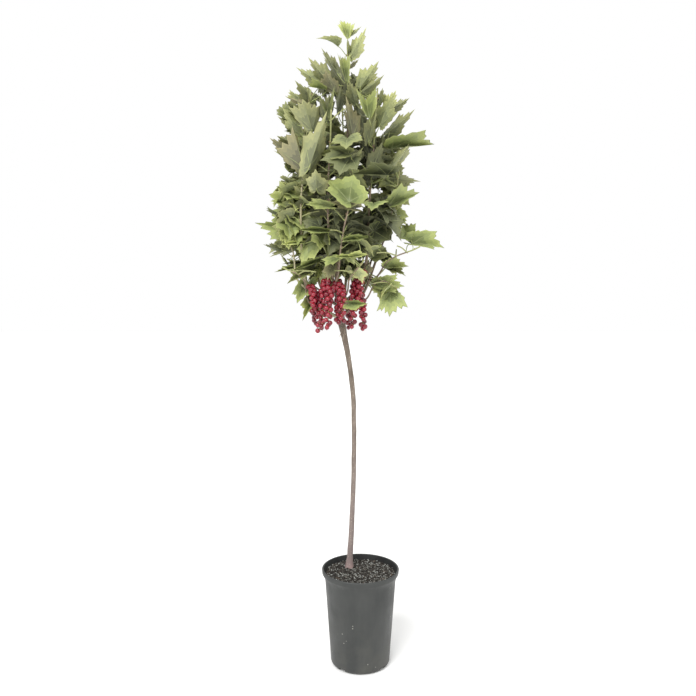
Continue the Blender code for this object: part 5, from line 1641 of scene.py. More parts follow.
class Piece:
    """Vertices, faces and material numbers gathered for one joined object."""

    def __init__(self):
        self.points = []
        self.faces = []
        self.finishes = []
        self.count = 0

    def add(self, points, faces, finishes=None):
        """Add a part: an array of points, an array of triangles and their material numbers."""
        points = np.asarray(points, dtype=float)
        faces = np.asarray(faces, dtype=int)
        self.points.append(points)
        self.faces.append(faces + self.count)
        self.finishes.append(np.zeros(len(faces), dtype=int) if finishes is None else np.asarray(finishes))
        self.count += len(points)

    def make(self, name, finishes, record_slot, nodes=()):
        """The object, riding on the plant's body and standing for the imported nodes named."""
        points = np.concatenate(self.points)
        faces = np.concatenate(self.faces)
        mesh = bpy.data.meshes.new(name)
        mesh.vertices.add(len(points))
        mesh.vertices.foreach_set("co", points.ravel())
        mesh.loops.add(len(faces) * 3)
        mesh.loops.foreach_set("vertex_index", faces.ravel())
        mesh.polygons.add(len(faces))
        mesh.polygons.foreach_set("loop_start", np.arange(0, len(faces) * 3, 3))
        mesh.polygons.foreach_set("loop_total", np.full(len(faces), 3))
        mesh.polygons.foreach_set("material_index", np.concatenate(self.finishes))
        mesh.polygons.foreach_set("use_smooth", np.full(len(faces), True))
        mesh.update()
        mesh.validate()
        for finish in finishes:
            mesh.materials.append(finish)
        thing = new_object(name, mesh)
        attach(thing, "root")
        if nodes:
            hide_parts(*nodes)
        return thing


def opaque(colour):
    """A colour with its alpha; an earlier step stays as it is."""
    return (*colour, 1.0) if isinstance(colour, tuple) else colour


class Shader:
    """A node material built up from a few kinds of step."""

    def __init__(self, name, roughness, shine, **settings):
        self.material = bpy.data.materials.new(name)
        self.material.use_nodes = True
        self.nodes = self.material.node_tree.nodes
        self.links = self.material.node_tree.links
        self.inputs = self.nodes["Principled BSDF"].inputs
        self.inputs["Roughness"].default_value = roughness
        self.inputs["Specular IOR Level"].default_value = shine
        for socket, value in settings.items():
            self.inputs[socket.replace("_", " ")].default_value = value
        self.place = self.nodes.new("ShaderNodeTexCoord").outputs["Object"]

    def step(self, kind, output, sockets, **settings):
        """An output of a new node, whose sockets get constants or the outputs of earlier steps."""
        made = self.nodes.new("ShaderNode" + kind)
        for setting, value in settings.items():
            setattr(made, setting, value)
        for socket, value in sockets.items():
            if isinstance(value, bpy.types.NodeSocket):
                self.links.new(value, made.inputs[socket])
            else:
                made.inputs[socket].default_value = value
        return made.outputs[output]

    def scaled(self, scale):
        """The place in the object, stretched."""
        return self.step("Mapping", "Vector", {"Scale": scale, "Vector": self.place})

    def noise(self, scale, detail, rough=PLAIN_ROUGHNESS, stretch=EVEN):
        """Cloudy noise from 0 to 1."""
        sockets = {"Scale": scale, "Detail": detail, "Roughness": rough, "Vector": self.scaled(stretch)}
        return self.step("TexNoise", "Fac", sockets)

    def cells(self, scale, stretch=EVEN):
        """Distance to the nearest of many scattered points."""
        return self.step("TexVoronoi", "Distance", {"Scale": scale, "Vector": self.scaled(stretch)})

    def height(self):
        """The height in metres."""
        return self.step("SeparateXYZ", "Z", {"Vector": self.place})

    def ramp(self, value, low, high):
        """A value brought from the range low to high to the range 0 to 1."""
        return self.step("MapRange", "Result", {"From Min": low, "From Max": high, "Value": value})

    def patches(self, low, high, *grain):
        """Noise of a grain, brought from the range low to high to the range 0 to 1."""
        return self.ramp(self.noise(*grain), low, high)

    def times(self, first, second):
        """Two values multiplied; the second may be a number."""
        return self.step("Math", "Value", {0: first, 1: second}, operation="MULTIPLY")

    def mix(self, share, first, second):
        """Two colours mixed; either may be a colour or an earlier step."""
        sockets = {"Factor": share, MIX_FIRST: opaque(first), MIX_SECOND: opaque(second)}
        return self.step("Mix", MIX_RESULT, sockets, data_type="RGBA")

    def layer(self, body, share, patches, colour):
        """A colour laid over the body where the patches are, as strongly as the share says."""
        return self.mix(self.times(patches, share), body, colour)

    def colour(self, value):
        """Set the base colour from an earlier step."""
        self.links.new(value, self.inputs["Base Color"])

    def roughness(self, value, low, high):
        """Let the roughness follow a value between two limits."""
        limits = self.step("MapRange", "Result", {"To Min": low, "To Max": high, "Value": value})
        self.links.new(limits, self.inputs["Roughness"])

    def bump(self, value, depth):
        """Relief from a value, as deep as that in metres, over what relief there is."""
        sockets = {"Strength": 1.0, "Distance": depth, "Height": value}
        last = self.inputs["Normal"]
        if last.is_linked:
            sockets["Normal"] = last.links[0].from_socket
        self.links.new(self.step("Bump", "Normal", sockets), last)


def shade(colour, amount):
    """A colour made lighter or darker."""
    return tuple(channel * amount for channel in colour)


def toned(colour, gains):
    """A colour with each of its channels made lighter or darker."""
    return tuple(channel * gain for channel, gain in zip(colour, gains))


def leaf_shader(name, colour, roughness, pores, mottle=LEAF_MOTTLE):
    """Leaf skin: soft mottling between darker and lighter green, and a fine grain."""
    made = Shader(name, roughness, LEAF_SHINE)
    clouds = made.patches(*LEAF_CLOUDS)
    warm = toned(colour, [1.0 + warmth * mottle for warmth in LEAF_WARMTH])
    body = made.mix(clouds, shade(colour, 1.0 - mottle), warm)
    made.colour(made.layer(body, LEAF_SPOTTED, made.patches(*LEAF_SPOTS), shade(colour, LEAF_SPOT_SHADE)))
    made.roughness(clouds, roughness - LEAF_GLOSS[0], roughness + LEAF_GLOSS[1])
    made.bump(made.noise(*LEAF_PORES), pores)
    made.bump(made.noise(*LEAF_PUCKERS), LEAF_PUCKER_DEPTH * pores)
    return made.material


def bark_shader(name, light, dark, pale, stretch=YOUNG_STRETCH, foot=False):
    """Bark: streaks along the limb, darker clouds and pale specks; on the trunk, a greyer pink foot."""
    made = Shader(name, BARK_ROUGHNESS, BARK_SHINE)
    streaks = made.patches(*BARK_STREAKS, stretch)
    body = made.mix(streaks, dark, light)
    body = made.layer(body, BARK_CLOUDED, made.patches(*BARK_CLOUDS), shade(dark, BARK_CLOUD_SHADE))
    if foot:
        for heights, colour in ((BARK_FOOT_HEIGHTS, BARK_FOOT), (BARK_BLUSH_HEIGHTS, BARK_BLUSH)):
            body = made.layer(body, BARK_FOOT_SHARE, made.ramp(made.height(), *heights), colour)
    specks = made.ramp(made.cells(*BARK_CELLS), *BARK_SPECK_REACH)
    made.colour(made.layer(body, BARK_SPECKED, specks, pale))
    made.roughness(streaks, *BARK_GLOSS)
    made.bump(made.noise(*BARK_GRAIN, stretch), BARK_GRAIN_DEPTH)
    made.bump(specks, BARK_SPECK_DEPTH)
    return made.material


def stem_shader(name, low, high, fleck):
    """Green wood: two tones in long streaks."""
    made = Shader(name, STEM_ROUGHNESS, STEM_SHINE)
    body = made.mix(made.patches(*STEM_STREAKS), low, high)
    made.colour(made.layer(body, STEM_FLECKED, made.patches(*STEM_FLECKS), fleck))
    made.bump(made.noise(*STEM_GRAIN), STEM_GRAIN_DEPTH)
    return made.material


def berry_shader(name, colour, deep):
    """A ripe berry's clear skin: darker clouds under a wet gloss."""
    made = Shader(name, BERRY_ROUGHNESS, BERRY_SHINE, **BERRY_SKIN)
    clouds = made.patches(*BERRY_CLOUDS)
    made.colour(made.mix(clouds, colour, deep))
    made.roughness(clouds, *BERRY_GLOSS)
    made.bump(made.noise(*BERRY_GRAIN), BERRY_GRAIN_DEPTH)
    return made.material


def pot_shader():
    """Matt recycled plastic: faint flow marks, dusty patches low down, specks and a few scuffs."""
    made = Shader("pot_plastic", POT_ROUGHNESS, POT_SHINE)
    body = made.mix(made.patches(*POT_FLOW), POT_DARK, POT_LIGHT)
    dust = made.patches(*POT_DUST_PATCHES)
    low = made.times(dust, made.ramp(made.height(), *POT_DUST_HEIGHTS))
    body = made.layer(body, POT_DUSTED, low, POT_DUST)
    specks = made.ramp(made.cells(POT_CELLS), *POT_SPECK_REACH)
    body = made.layer(body, POT_SPECKED, made.times(specks, made.patches(*POT_GRIT)), POT_SPECK)
    made.colour(made.layer(body, POT_SCUFFED, made.patches(*POT_SCUFFS), shade(POT_DARK, POT_SCUFF_SHADE)))
    made.roughness(dust, *POT_GLOSS)
    made.bump(made.noise(*POT_GRAIN), POT_GRAIN_DEPTH)
    made.bump(made.noise(*POT_RIPPLES), POT_RIPPLE_DEPTH)
    return made.material


def inner_shader():
    """The pot's lining: the same plastic painted darker as shade, near black in patches and the outside's
    dark elsewhere.
    """
    made = Shader("pot_lining_painted_shade", LINING_ROUGHNESS, LINING_SHINE)
    lining_patches = made.patches(*LINING_PATCHES)
    made.colour(made.mix(lining_patches, POT_LINING_SHADE, POT_DARK))
    made.roughness(lining_patches, *LINING_GLOSS)
    made.bump(made.noise(*LINING_GRAIN), LINING_GRAIN_DEPTH)
    return made.material


def outer_radius(height):
    """Radius of the pot's wall outside at a height."""
    return inner_radius(height) + POT_WALL


def soil_shader(name, light, dark, scale):
    """Damp crumbly matter of two tones."""
    made = Shader(name, SOIL_ROUGHNESS, SOIL_SHINE)
    grains = made.patches(*SOIL_GRAIN_RANGE, scale, *SOIL_GRAINS)
    made.colour(made.mix(grains, dark, light))
    made.roughness(grains, *SOIL_GLOSS)
    made.bump(made.noise(SOIL_FINER * scale, *SOIL_CRUMBS), SOIL_CRUMB_DEPTH)
    return made.material


def spline(route, step):
    """A route's points and radii on a smooth curve, about a step apart."""
    points = np.array([tuple(p) for p in route[0]])
    rows = np.column_stack([points, np.array(route[1])])
    first = 2 * rows[0] - rows[1]
    last = 2 * rows[-1] - rows[-2]
    rows = np.vstack([first, rows, last])
    found = []
    for index in range(1, len(rows) - 2):
        a, b, c, d = rows[index - 1:index + 3]
        count = max(int(np.linalg.norm(c[:3] - b[:3]) / step), 1)
        for number in range(count):
            t = number / count
            found.append(0.5 * (2 * b + (c - a) * t + (2 * a - 5 * b + 4 * c - d) * t**2
                                + (3 * b - a - 3 * c + d) * t**3))
    found.append(rows[-2])
    found = np.array(found)
    return found[:, :3], np.maximum(found[:, 3], LEAST_RADIUS)


def frames(points):
    """Two directions across a curve at each of its points, turning as little as they can."""
    ahead = np.gradient(points, axis=0)
    ahead /= np.linalg.norm(ahead, axis=1)[:, None]
    guide = np.array((1.0, 0.0, 0.0) if abs(ahead[0, 0]) < NEARLY_ALONG else (0.0, 1.0, 0.0))
    sides = []
    for direction in ahead:
        guide = guide - direction * guide.dot(direction)
        guide = guide / np.linalg.norm(guide)
        sides.append(guide)
    sides = np.array(sides)
    return sides, np.cross(ahead, sides)


def sweep(piece, points, radii, sides, relief=None, finish=0):
    """Add a closed limb round a curve to a piece; relief gives the outward moves by ring and side."""
    across, over = frames(points)
    angles = np.arange(sides) * math.tau / sides
    reach = np.repeat(radii[:, None], sides, axis=1)
    if relief is not None:
        reach = reach + relief
    rings = points[:, None] + reach[:, :, None] * (np.cos(angles)[None, :, None] * across[:, None]
                                                   + np.sin(angles)[None, :, None] * over[:, None])
    count = len(points)
    shape = np.vstack([rings.reshape(-1, 3), points[:1], points[-1:]])
    ring = np.arange(count - 1)[:, None] * sides
    here = np.arange(sides)[None]
    after = (here + 1) % sides
    walls = [np.stack([ring + here, ring + after, ring + sides + after], axis=2).reshape(-1, 3),
             np.stack([ring + here, ring + sides + after, ring + sides + here], axis=2).reshape(-1, 3)]
    start = count * sides
    top = (count - 1) * sides
    ends = [np.stack([np.full(sides, start), after[0], here[0]], axis=1),
            np.stack([np.full(sides, start + 1), top + here[0], top + after[0]], axis=1)]
    faces = np.vstack(walls + ends)
    piece.add(shape, faces, np.full(len(faces), finish))


def bark_relief(points, radii, sides, depth, seed):
    """Outward moves for bark: furrows along the limb, cross folds, knots and grain."""
    moves = np.zeros((len(points), sides))
    run = 0.0
    for row, (point, radius) in enumerate(zip(points, radii)):
        if row:
            run += float(np.linalg.norm(point - points[row - 1]))
        for side in range(sides):
            angle = side * math.tau / sides
            rise = 0.0
            for across, length, shift_x, shift_y, weight in BARK_WAVES:
                x = across * math.cos(angle) + shift_x * seed
                y = across * math.sin(angle) + shift_y * seed
                rise += weight * noise.noise(Vector((x, y, length * run)))
            moves[row, side] = radius * depth * rise
    return moves


def rooted(route, sink, flare):
    """A route whose start is sunk into what carries it, with a collar that flares there."""
    points = [p.copy() for p in route[0]]
    radii = list(route[1])
    ahead = (points[1] - points[0]).normalized()
    points = [points[0] - ahead * sink] + points
    return points, [radii[0] * flare, radii[0] * (1.0 + FLARE_FADE * (flare - 1.0))] + radii[1:]


def blade_template():
    """Columns and rings of a leaf blade: its places in polar terms, its faces and their finishes.

    Each column is an angle from the midrib, its reach to the toothed edge, and the side of a main
    vein that it borders (0 for none).
    """
    half = []
    marks = list(BLADE_VEINS) + [BLADE_BACK]
    for number, teeth in enumerate(BLADE_TEETH):
        start = marks[number]
        span = marks[number + 1] - start
        if number:
            half += [(start, 1.0, -1), (start, 1.0, 1)]
        for step in range(1, 2 * teeth):
            grow = 1.0 + TOOTH_DEPTH if step % 2 == 0 else 1.0 - TOOTH_DEPTH
            half.append((start + span * step / (2 * teeth), grow, 0))
    half.append((BLADE_BACK, 1.0, 0))
    columns = [(-a, grow, -side) for a, grow, side in half[::-1]] + [(0.0, 1.0, -1), (0.0, 1.0, 1)] + half
    angles = np.radians([c[0] for c in columns])
    reach = np.array([(between(BLADE_OUTLINE, abs(c[0]))[0], c[1] - 1.0) for c in columns])
    borders = np.array([c[2] for c in columns])
    count = len(columns)
    inner = len(BLADE_RINGS) - 1
    faces = []
    finishes = []

    def top(ring, column):
        return 1 + ring * count + column

    def under(ring, column):
        if ring == inner:
            return top(ring, column)
        return 1 + (inner + 1) * count + 1 + ring * count + column

    centre_under = 1 + (inner + 1) * count
    for column in range(count - 1):
        vein = borders[column] == -1 and borders[column + 1] == 1
        for side, centre, spot in ((0, 0, top), (1, centre_under, under)):
            corners = [(centre, spot(0, column), spot(0, column + 1))]
            for ring in range(inner):
                a, b = spot(ring, column), spot(ring, column + 1)
                c, d = spot(ring + 1, column + 1), spot(ring + 1, column)
                corners += [(a, d, c), (a, c, b)]
            for number, corner in enumerate(corners):
                faces.append(corner if side == 0 else corner[::-1])
                # Each ring of faces takes a painted tone: shade near the root, light at the rim
                tone = BLADE_PAINTED_TONES[(number + 1) // 2]
                finishes.append(VEIN_FINISH if vein and tone < PAINTED_RIM_TONE else side * len(PAINTED_SHADE_LIGHT_GAINS) + tone)
    # The blade's cut edge takes the underside's darkest tone, its painted shade
    for edge, flip in ((0, False), (count - 1, True)):
        ladder = [(0, centre_under)] + [(top(r, edge), under(r, edge)) for r in range(inner + 1)]
        for (a, b), (c, d) in zip(ladder, ladder[1:]):
            for corner in ((a, b, c), (b, d, c)):
                if len(set(corner)) == 3:
                    faces.append(corner[::-1] if flip else corner)
                    finishes.append(len(PAINTED_SHADE_LIGHT_GAINS))
    return angles, reach, borders, np.array(faces), np.array(finishes)


def folded_tips(axis, upper, length, closed):
    """Tips of a blade's left and right lobes from its root, by how far it is folded up."""
    fold = math.atan(BLADE_FOLD[0] + (BLADE_FOLD[1] - BLADE_FOLD[0]) * closed)
    spread = math.radians(BLADE_VEINS[1]) * (BLADE_SPREAD[0] + (BLADE_SPREAD[1] - BLADE_SPREAD[0]) * closed)
    side = axis.cross(upper).normalized()
    tips = []
    for hand in (-1.0, 1.0):
        away = side * (hand * math.cos(fold)) + upper * math.sin(fold)
        tips.append(length * BLADE_LOBE * (axis * math.cos(spread) + away * math.sin(spread)))
    return tips


def lobe_tips(leaf, dice):
    """Tips of a leaf's left and right lobes from its root: as read, or folded up with its slope."""
    if leaf.lobes:
        return leaf.lobes
    axis, upper, length = leaf[2:5]
    slope = max(axis.z, 0.0)
    closed = BLADE_CLOSING[0] + BLADE_CLOSING[1] * slope + dice.uniform(-BLADE_CHANCE, BLADE_CHANCE)
    return folded_tips(axis, upper, length, min(max(closed, 0.0), 1.0))


def add_blade(piece, template, leaf, dice):
    """Add one leaf blade to a piece: lobed, toothed, folded along its midrib and gently waved."""
    angles, reach, borders, faces, finishes = template
    end, axis, upper, length = leaf[1:5]
    tips = np.array([tuple(tip) for tip in lobe_tips(leaf, dice)])
    droop = 0.0 if leaf.lobes else LEAF_DROOP + dice.uniform(*BLADE_DROOPS)
    arch = dice.uniform(*BLADE_ARCHES)
    quilt = dice.uniform(*BLADE_QUILTS)
    wave = dice.uniform(*BLADE_WAVES)
    beat = dice.randint(*BLADE_BEATS)
    phase = dice.uniform(0.0, math.tau)
    skew = dice.uniform(*BLADE_SKEWS)
    gap = np.linalg.norm(tips[0] - tips[1]) / length
    closed = min(max((BLADE_OPEN - gap) / (0.5 * BLADE_OPEN), 0.0), 1.0)
    turn = np.abs(angles)
    lobe = math.radians(BLADE_VEINS[1])
    loss = leaf.missing if leaf.lobes else BLADE_BASE_LOSS * closed
    teeth = TOOTH_SHARES[0] + (TOOTH_SHARES[1] - TOOTH_SHARES[0]) * min(2.0 * loss, 1.0)
    size = reach[:, 0] * (1.0 + teeth * reach[:, 1]) * (1.0 + skew * np.sin(angles))
    size = size * (1.0 - loss * np.clip((turn - lobe) / lobe, 0.0, 1.0))
    veins = np.radians(np.array(BLADE_VEINS + (BLADE_BACK,)))
    bulge = np.zeros(len(angles))
    for low, high in zip(veins, veins[1:]):
        inside = (turn >= low) & (turn <= high)
        bulge[inside] = np.sin(math.pi * (turn[inside] - low) / (high - low))
    rings = np.array(BLADE_RINGS)[:, None]
    run = rings * size[None]
    narrow = VEIN_WIDTH * (1.0 - VEIN_TAPER * rings) * borders[None]
    forward = run * np.cos(angles) - narrow * np.sin(angles)
    across = run * np.sin(angles) + narrow * np.cos(angles)
    height = arch * 4.0 * run * (1.0 - run) - droop * forward * np.abs(forward)
    height += quilt * bulge * np.sin(math.pi * np.minimum(rings, QUILT_END)) * rings
    height += wave * np.sin(beat * angles + phase) * rings**3
    thick = BLADE_THICKNESS / length * (1.0 - rings**4)
    rib = np.array(axis) * length
    upper = np.array(upper)
    base = np.array(end)
    share = np.abs(across) / (BLADE_LOBE * math.sin(lobe))
    along_rib = forward - share * BLADE_LOBE * math.cos(lobe)
    lobed = np.where((across > 0.0)[:, :, None], tips[0], tips[1])
    flat = base + along_rib[:, :, None] * rib + share[:, :, None] * lobed

    def placed(rise):
        return (flat + (rise * length)[:, :, None] * upper).reshape(-1, 3)

    over = placed(height + thick / 2)
    below = placed(height - thick / 2 - VEIN_RELIEF * np.abs(borders) * (1.0 - rings))
    half = upper * BLADE_THICKNESS / 2
    points = np.vstack([(base + half)[None], over, (base - half)[None], below[:-len(angles)]])
    piece.add(points, faces, finishes)


def add_petiole(piece, leaf, dice):
    """Add a leaf's stalk: a thin curved tube from inside its twig to the blade's veins."""
    root = leaf.site[0]
    end = leaf.end
    span = (end - root).length
    sway = (dice.uniform(-PETIOLE_SWAY, PETIOLE_SWAY), dice.uniform(-PETIOLE_SWAY, PETIOLE_SWAY))
    sag = Vector((*sway, -dice.uniform(*PETIOLE_SAGS))) * span
    arrive = leaf.axis.lerp(end - root, 0.5).normalized()
    ends = (root, root.lerp(end, PETIOLE_BEND) + sag, end - arrive * span * PETIOLE_ARRIVAL, end)
    points = np.array([tuple(bezier(ends, step / PETIOLE_STEPS)) for step in range(PETIOLE_STEPS + 1)])
    points = np.vstack([points, np.array(end + leaf.axis * PETIOLE_INTO_BLADE * leaf.length)])
    radii = np.linspace(STALK_RADII[0], STALK_RADII[1], len(points))
    radii[0] *= PETIOLE_FOOT
    radii[-1] *= PETIOLE_POINT
    least, growth = PETIOLE_GIRTH
    sweep(piece, points, radii * (least + growth * leaf.length / PETIOLE_FULL), PETIOLE_SIDES)


def add_bud(piece, site, heading, dice):
    """Add a small pointed bud on the upper side of a leaf's root."""
    here, ahead, radius = site[:3]
    out = heading - ahead * heading.dot(ahead)
    if out.length < BUD_LEAST_OUT:
        return
    out = out.normalized()
    start = here + out * radius * BUD_START[0] + ahead * radius * BUD_START[1]
    tip = start + (ahead * BUD_WAY[0] + out * BUD_WAY[1]) * dice.uniform(*BUD_LENGTHS)
    shares, widths = zip(*BUD_RINGS)
    points = np.array([tuple(start.lerp(tip, share)) for share in shares])
    sweep(piece, points, np.array(widths) * BUD_RADIUS, BUD_SIDES)


def turned_faces(rows, sides):
    """Faces of a shape turned about an axis: its two ends on the axis and the rows between them."""
    faces = []
    last = 1 + rows * sides
    for side in range(sides):
        after = (side + 1) % sides
        faces.append((0, 1 + side, 1 + after))
        for row in range(rows - 1):
            low = 1 + row * sides
            high = low + sides
            faces += [(low + side, high + side, high + after), (low + side, high + after, low + after)]
        low = last - sides
        faces.append((low + side, last, low + after))
    return faces


def add_berry(piece, ends, stalks, centre, strig, radius, dice):
    """Add one berry on its short stalk, with the dry end of its flower."""
    out = (centre - strig).normalized()
    axis = (out * BERRY_LEAN - raised(1.0)).normalized()
    side = axis.orthogonal().normalized()
    over = axis.cross(side)
    turns = np.arange(BERRY_SIDES) * math.tau / BERRY_SIDES
    ring = np.cos(turns)[:, None] * np.array(side) + np.sin(turns)[:, None] * np.array(over)
    points = [np.array(centre - axis * radius)[None]]
    for degrees in BERRY_ROWS:
        angle = math.radians(degrees)
        points.append(np.array(centre - axis * radius * math.cos(angle)) + ring * radius * math.sin(angle))
    points.append(np.array(centre + axis * radius)[None])
    piece.add(np.vstack(points), [(a, c, b) for a, b, c in turned_faces(len(BERRY_ROWS), BERRY_SIDES)])
    end = centre + axis * radius * BERRY_END
    tip = end + axis * dice.uniform(*END_LENGTHS)
    stub = np.array([tuple(end), tuple(end + axis * END_NECK), tuple(tip)])
    sweep(ends, stub, np.array(END_RADII), PEDICEL_SIDES)
    top = centre - axis * radius * BERRY_TOP
    bend = strig.lerp(top, 0.5) + raised(PEDICEL_ARCH)
    sweep(stalks, np.array([tuple(strig), tuple(bend), tuple(top)]), np.array(PEDICEL_RADII), PEDICEL_SIDES)


def make_camera():
    """The photograph's own view of the plant."""
    data = bpy.data.cameras.new("camera")
    data.sensor_width = CAMERA_SENSOR
    data.lens = CAMERA_LENS
    camera = new_object("camera", data)
    camera.location = CAMERA_PLACE
    camera.rotation_euler = (math.radians(90.0 - CAMERA_DIP), 0.0, 0.0)
    bpy.context.scene.camera = camera


def make_lights():
    """Soft studio light from above and both sides, and a pale surround."""
    world = bpy.data.worlds.new("surround")
    world.use_nodes = True
    back = world.node_tree.nodes["Background"]
    back.inputs["Color"].default_value = (1.0, 1.0, 1.0, 1.0)
    back.inputs["Strength"].default_value = WORLD_STRENGTH
    bpy.context.scene.world = world
    bpy.context.scene.view_settings.view_transform = "Standard"
    for name, place, spread, strength in LIGHTS:
        data = bpy.data.lights.new(name, "SUN")
        data.angle = math.radians(spread)
        data.energy = strength
        light = new_object(name, data)
        light.location = place
        light.rotation_euler = (-Vector(place)).to_track_quat("-Z", "Y").to_euler()


def make_floor():
    """A plain pale floor."""
    points = [(-FLOOR_REACH, -FLOOR_REACH, 0.0), (FLOOR_REACH, -FLOOR_REACH, 0.0),
              (FLOOR_REACH, FLOOR_REACH, 0.0), (-FLOOR_REACH, FLOOR_REACH, 0.0)]
    mesh = bpy.data.meshes.new("floor")
    mesh.from_pydata(points, [], [(0, 1, 2, 3)])
    floor = new_object("floor", mesh)
    made = Shader("floor_paper", FLOOR_ROUGHNESS, FLOOR_SHINE)
    made.colour(made.mix(made.noise(*FLOOR_CLOUDS), FLOOR_COLOUR, shade(FLOOR_COLOUR, FLOOR_SHADE)))
    mesh.materials.append(made.material)


def make_leaves(leaves):
    """Every leaf blade, joined by tint; each tint has painted shade towards the leaf's root and painted light
    at its edge.
    """
    template = blade_template()
    dice = random.Random(BLADE_SEED)
    pieces = {tint: [Piece()] for tint in TINTS}
    for group in leaves.values():
        for leaf in group:
            same = pieces[tint_of(leaf, dice)]
            if same[-1].count > PIECE_POINTS:
                same.append(Piece())
            add_blade(same[-1], template, leaf, dice)
    masses = [row[0] for row in MASSES]
    vein = leaf_shader("leaf_vein", VEIN_COLOUR, *VEIN_SKIN)
    for tint, colours in TINTS.items():
        finishes = []
        for (side, *skin), colour in zip(LEAF_SKINS, colours):
            # Copies of each side's colour, from painted shade to painted light
            for number, gains in enumerate(PAINTED_SHADE_LIGHT_GAINS):
                name = "leaf_" + tint + "_" + side + "_" + str(number)
                finishes.append(leaf_shader(name, toned(colour, gains), *skin))
        for number, piece in enumerate(pieces[tint]):
            if piece.count:
                piece.make("leaves_" + tint + "_" + str(number), finishes + [vein], "leaf", masses)


def tint_of(leaf, dice):
    """The tint a leaf gets by its place, its size and chance; near the crown's axis it is a darker tint of
    painted shade.
    """
    if leaf.tint:
        return leaf.tint
    end = leaf.end
    height = end.z + dice.uniform(-TINT_CHANCE, TINT_CHANCE)
    inner = math.hypot(end.x - CROWN_AXIS[0], end.y - CROWN_AXIS[1])
    # Painted shade: leaves near the axis get the shaded tint
    within = between(SHADED_SHARES, end.z)[0] * between(CROWN_OUTLINE, end.z)[2]
    if inner < within and end.z < SHADED_BELOW:
        return "shaded"
    if height > YOUNG_ABOVE or leaf.length < YOUNG_LENGTH:
        return "young"
    if height > FRESH_ABOVE:
        return "fresh" if dice.random() < FRESH_SHARE else "olive"
    if height > OLIVE_ABOVE:
        # deep is painted shade near the axis and a darker green by chance elsewhere
        return "deep" if inner < DEEP_SHADE_WITHIN or dice.random() < DEEP_SHARE else "olive"
    if inner < DEEP_SHADE_WITHIN:
        return "deep"
    return "fresh" if dice.random() < LOW_FRESH_SHARE else "light"


def make_wood(routes, stems, twigs, leaves):
    """Trunk, boughs, shoots, twigs, leaf stalks and buds."""
    dice = random.Random(WOOD_SEED)
    bark = Piece()
    trunk = routes["trunk"]
    points, radii = spline(rooted(trunk, TRUNK_SUNK, TRUNK_FLARE), TRUNK_RING_STEP)
    relief = bark_relief(points, radii, TRUNK_SIDES, TRUNK_RELIEF, TRUNK_BARK_SEED)
    sweep(bark, points, radii, TRUNK_SIDES, relief)
    finish = bark_shader("bark_old", BARK_LIGHT, BARK_DARK, BARK_SPECK, OLD_STRETCH, foot=True)
    bark.make("trunk_bark", [finish], "bark", ["trunk"])
    make_peel(trunk)
    boughs = Piece()
    for number, row in enumerate(BOUGHS):
        route = routes[row[0]]
        points, radii = spline(rooted(route, BOUGH_SUNK * route[1][0], BOUGH_FLARE), BOUGH_RING_STEP)
        relief = bark_relief(points, radii, BOUGH_SIDES, BOUGH_RELIEF, BOUGH_BARK_SEED + number)
        sweep(boughs, points, radii, BOUGH_SIDES, relief, int(row[0] in PALE_BOUGHS))
    young = bark_shader("bark_young", SHOOT_LIGHT, SHOOT_DARK, SHOOT_SPECK)
    pale = bark_shader("bark_pale", PALE_LIGHT, PALE_DARK, SHOOT_SPECK)
    boughs.make("bough_bark", [young, pale], "shoot", [row[0] for row in BOUGHS])
    shoots = Piece()
    petioles = Piece()
    buds = Piece()
    for number, row in enumerate(MASSES):
        points, radii = spline(rooted(stems[row[0]], SHOOT_SUNK, 1.0), SHOOT_RING_STEP)
        relief = bark_relief(points, radii, SHOOT_SIDES, SHOOT_RELIEF, SHOOT_BARK_SEED + number)
        split = int(len(points) * SHOOT_RIPE)
        ripe = 2 if row[1] in PALE_BOUGHS else 0
        sweep(shoots, points[:split + 1], radii[:split + 1], SHOOT_SIDES, relief[:split + 1], ripe)
        sweep(shoots, points[split:], radii[split:], SHOOT_SIDES, relief[split:], 1)
    for name, group in leaves.items():
        for twig in twigs[name]:
            points, radii = spline((twig, TWIG_RADII), SHOOT_RING_STEP)
            sweep(shoots, points, radii * TWIG_SLIMNESS, TWIG_SIDES, None, 1)
        for leaf in group:
            add_petiole(petioles, leaf, dice)
            add_bud(buds, leaf.site, leaf.axis, dice)
    ripe = bark_shader("shoot_ripe", SHOOT_LIGHT, SHOOT_DARK, SHOOT_SPECK)
    green = stem_shader("shoot_green", GREEN_LOW, GREEN_HIGH, GREEN_FLECK)
    shoots.make("shoots", [ripe, green, pale], "shoot")
    petioles.make("leaf_stalks", [stem_shader("stalk_green", STALK_LOW, STALK_HIGH, STALK_FLECK)], "leaf")
    buds.make("buds", [stem_shader("bud_scale", BUD_LOW, BUD_HIGH, BUD_FLECK)], "shoot")


def make_peel(trunk):
    """Thin strips of dry bark that hang off the graft."""
    dice = random.Random(PEEL_SEED)
    peel = Piece()
    for _ in range(PEEL_COUNT):
        here, _, width = along(trunk, dice.uniform(*PEEL_PLACES))
        out = aim(math.radians(dice.uniform(*PEEL_HEADINGS)), 0.0)
        long = dice.uniform(*PEEL_LENGTHS)
        start = here + out * (width - PEEL_RADIUS)
        bend = start + out * (PEEL_BEND[0] * long) - raised(PEEL_BEND[1] * long)
        end = start + out * (dice.uniform(*PEEL_CURLS) * long) - raised(long)
        radii = [PEEL_RADIUS, PEEL_RADIUS, PEEL_RADIUS / 2]
        sweep(peel, *spline(([start, bend, end], radii), PEEL_RING_STEP), TWIG_SIDES)
    peel.make("bark_peel", [stem_shader("dry_bark", PEEL_LOW, PEEL_HIGH, BARK_SPECK)], "bark")


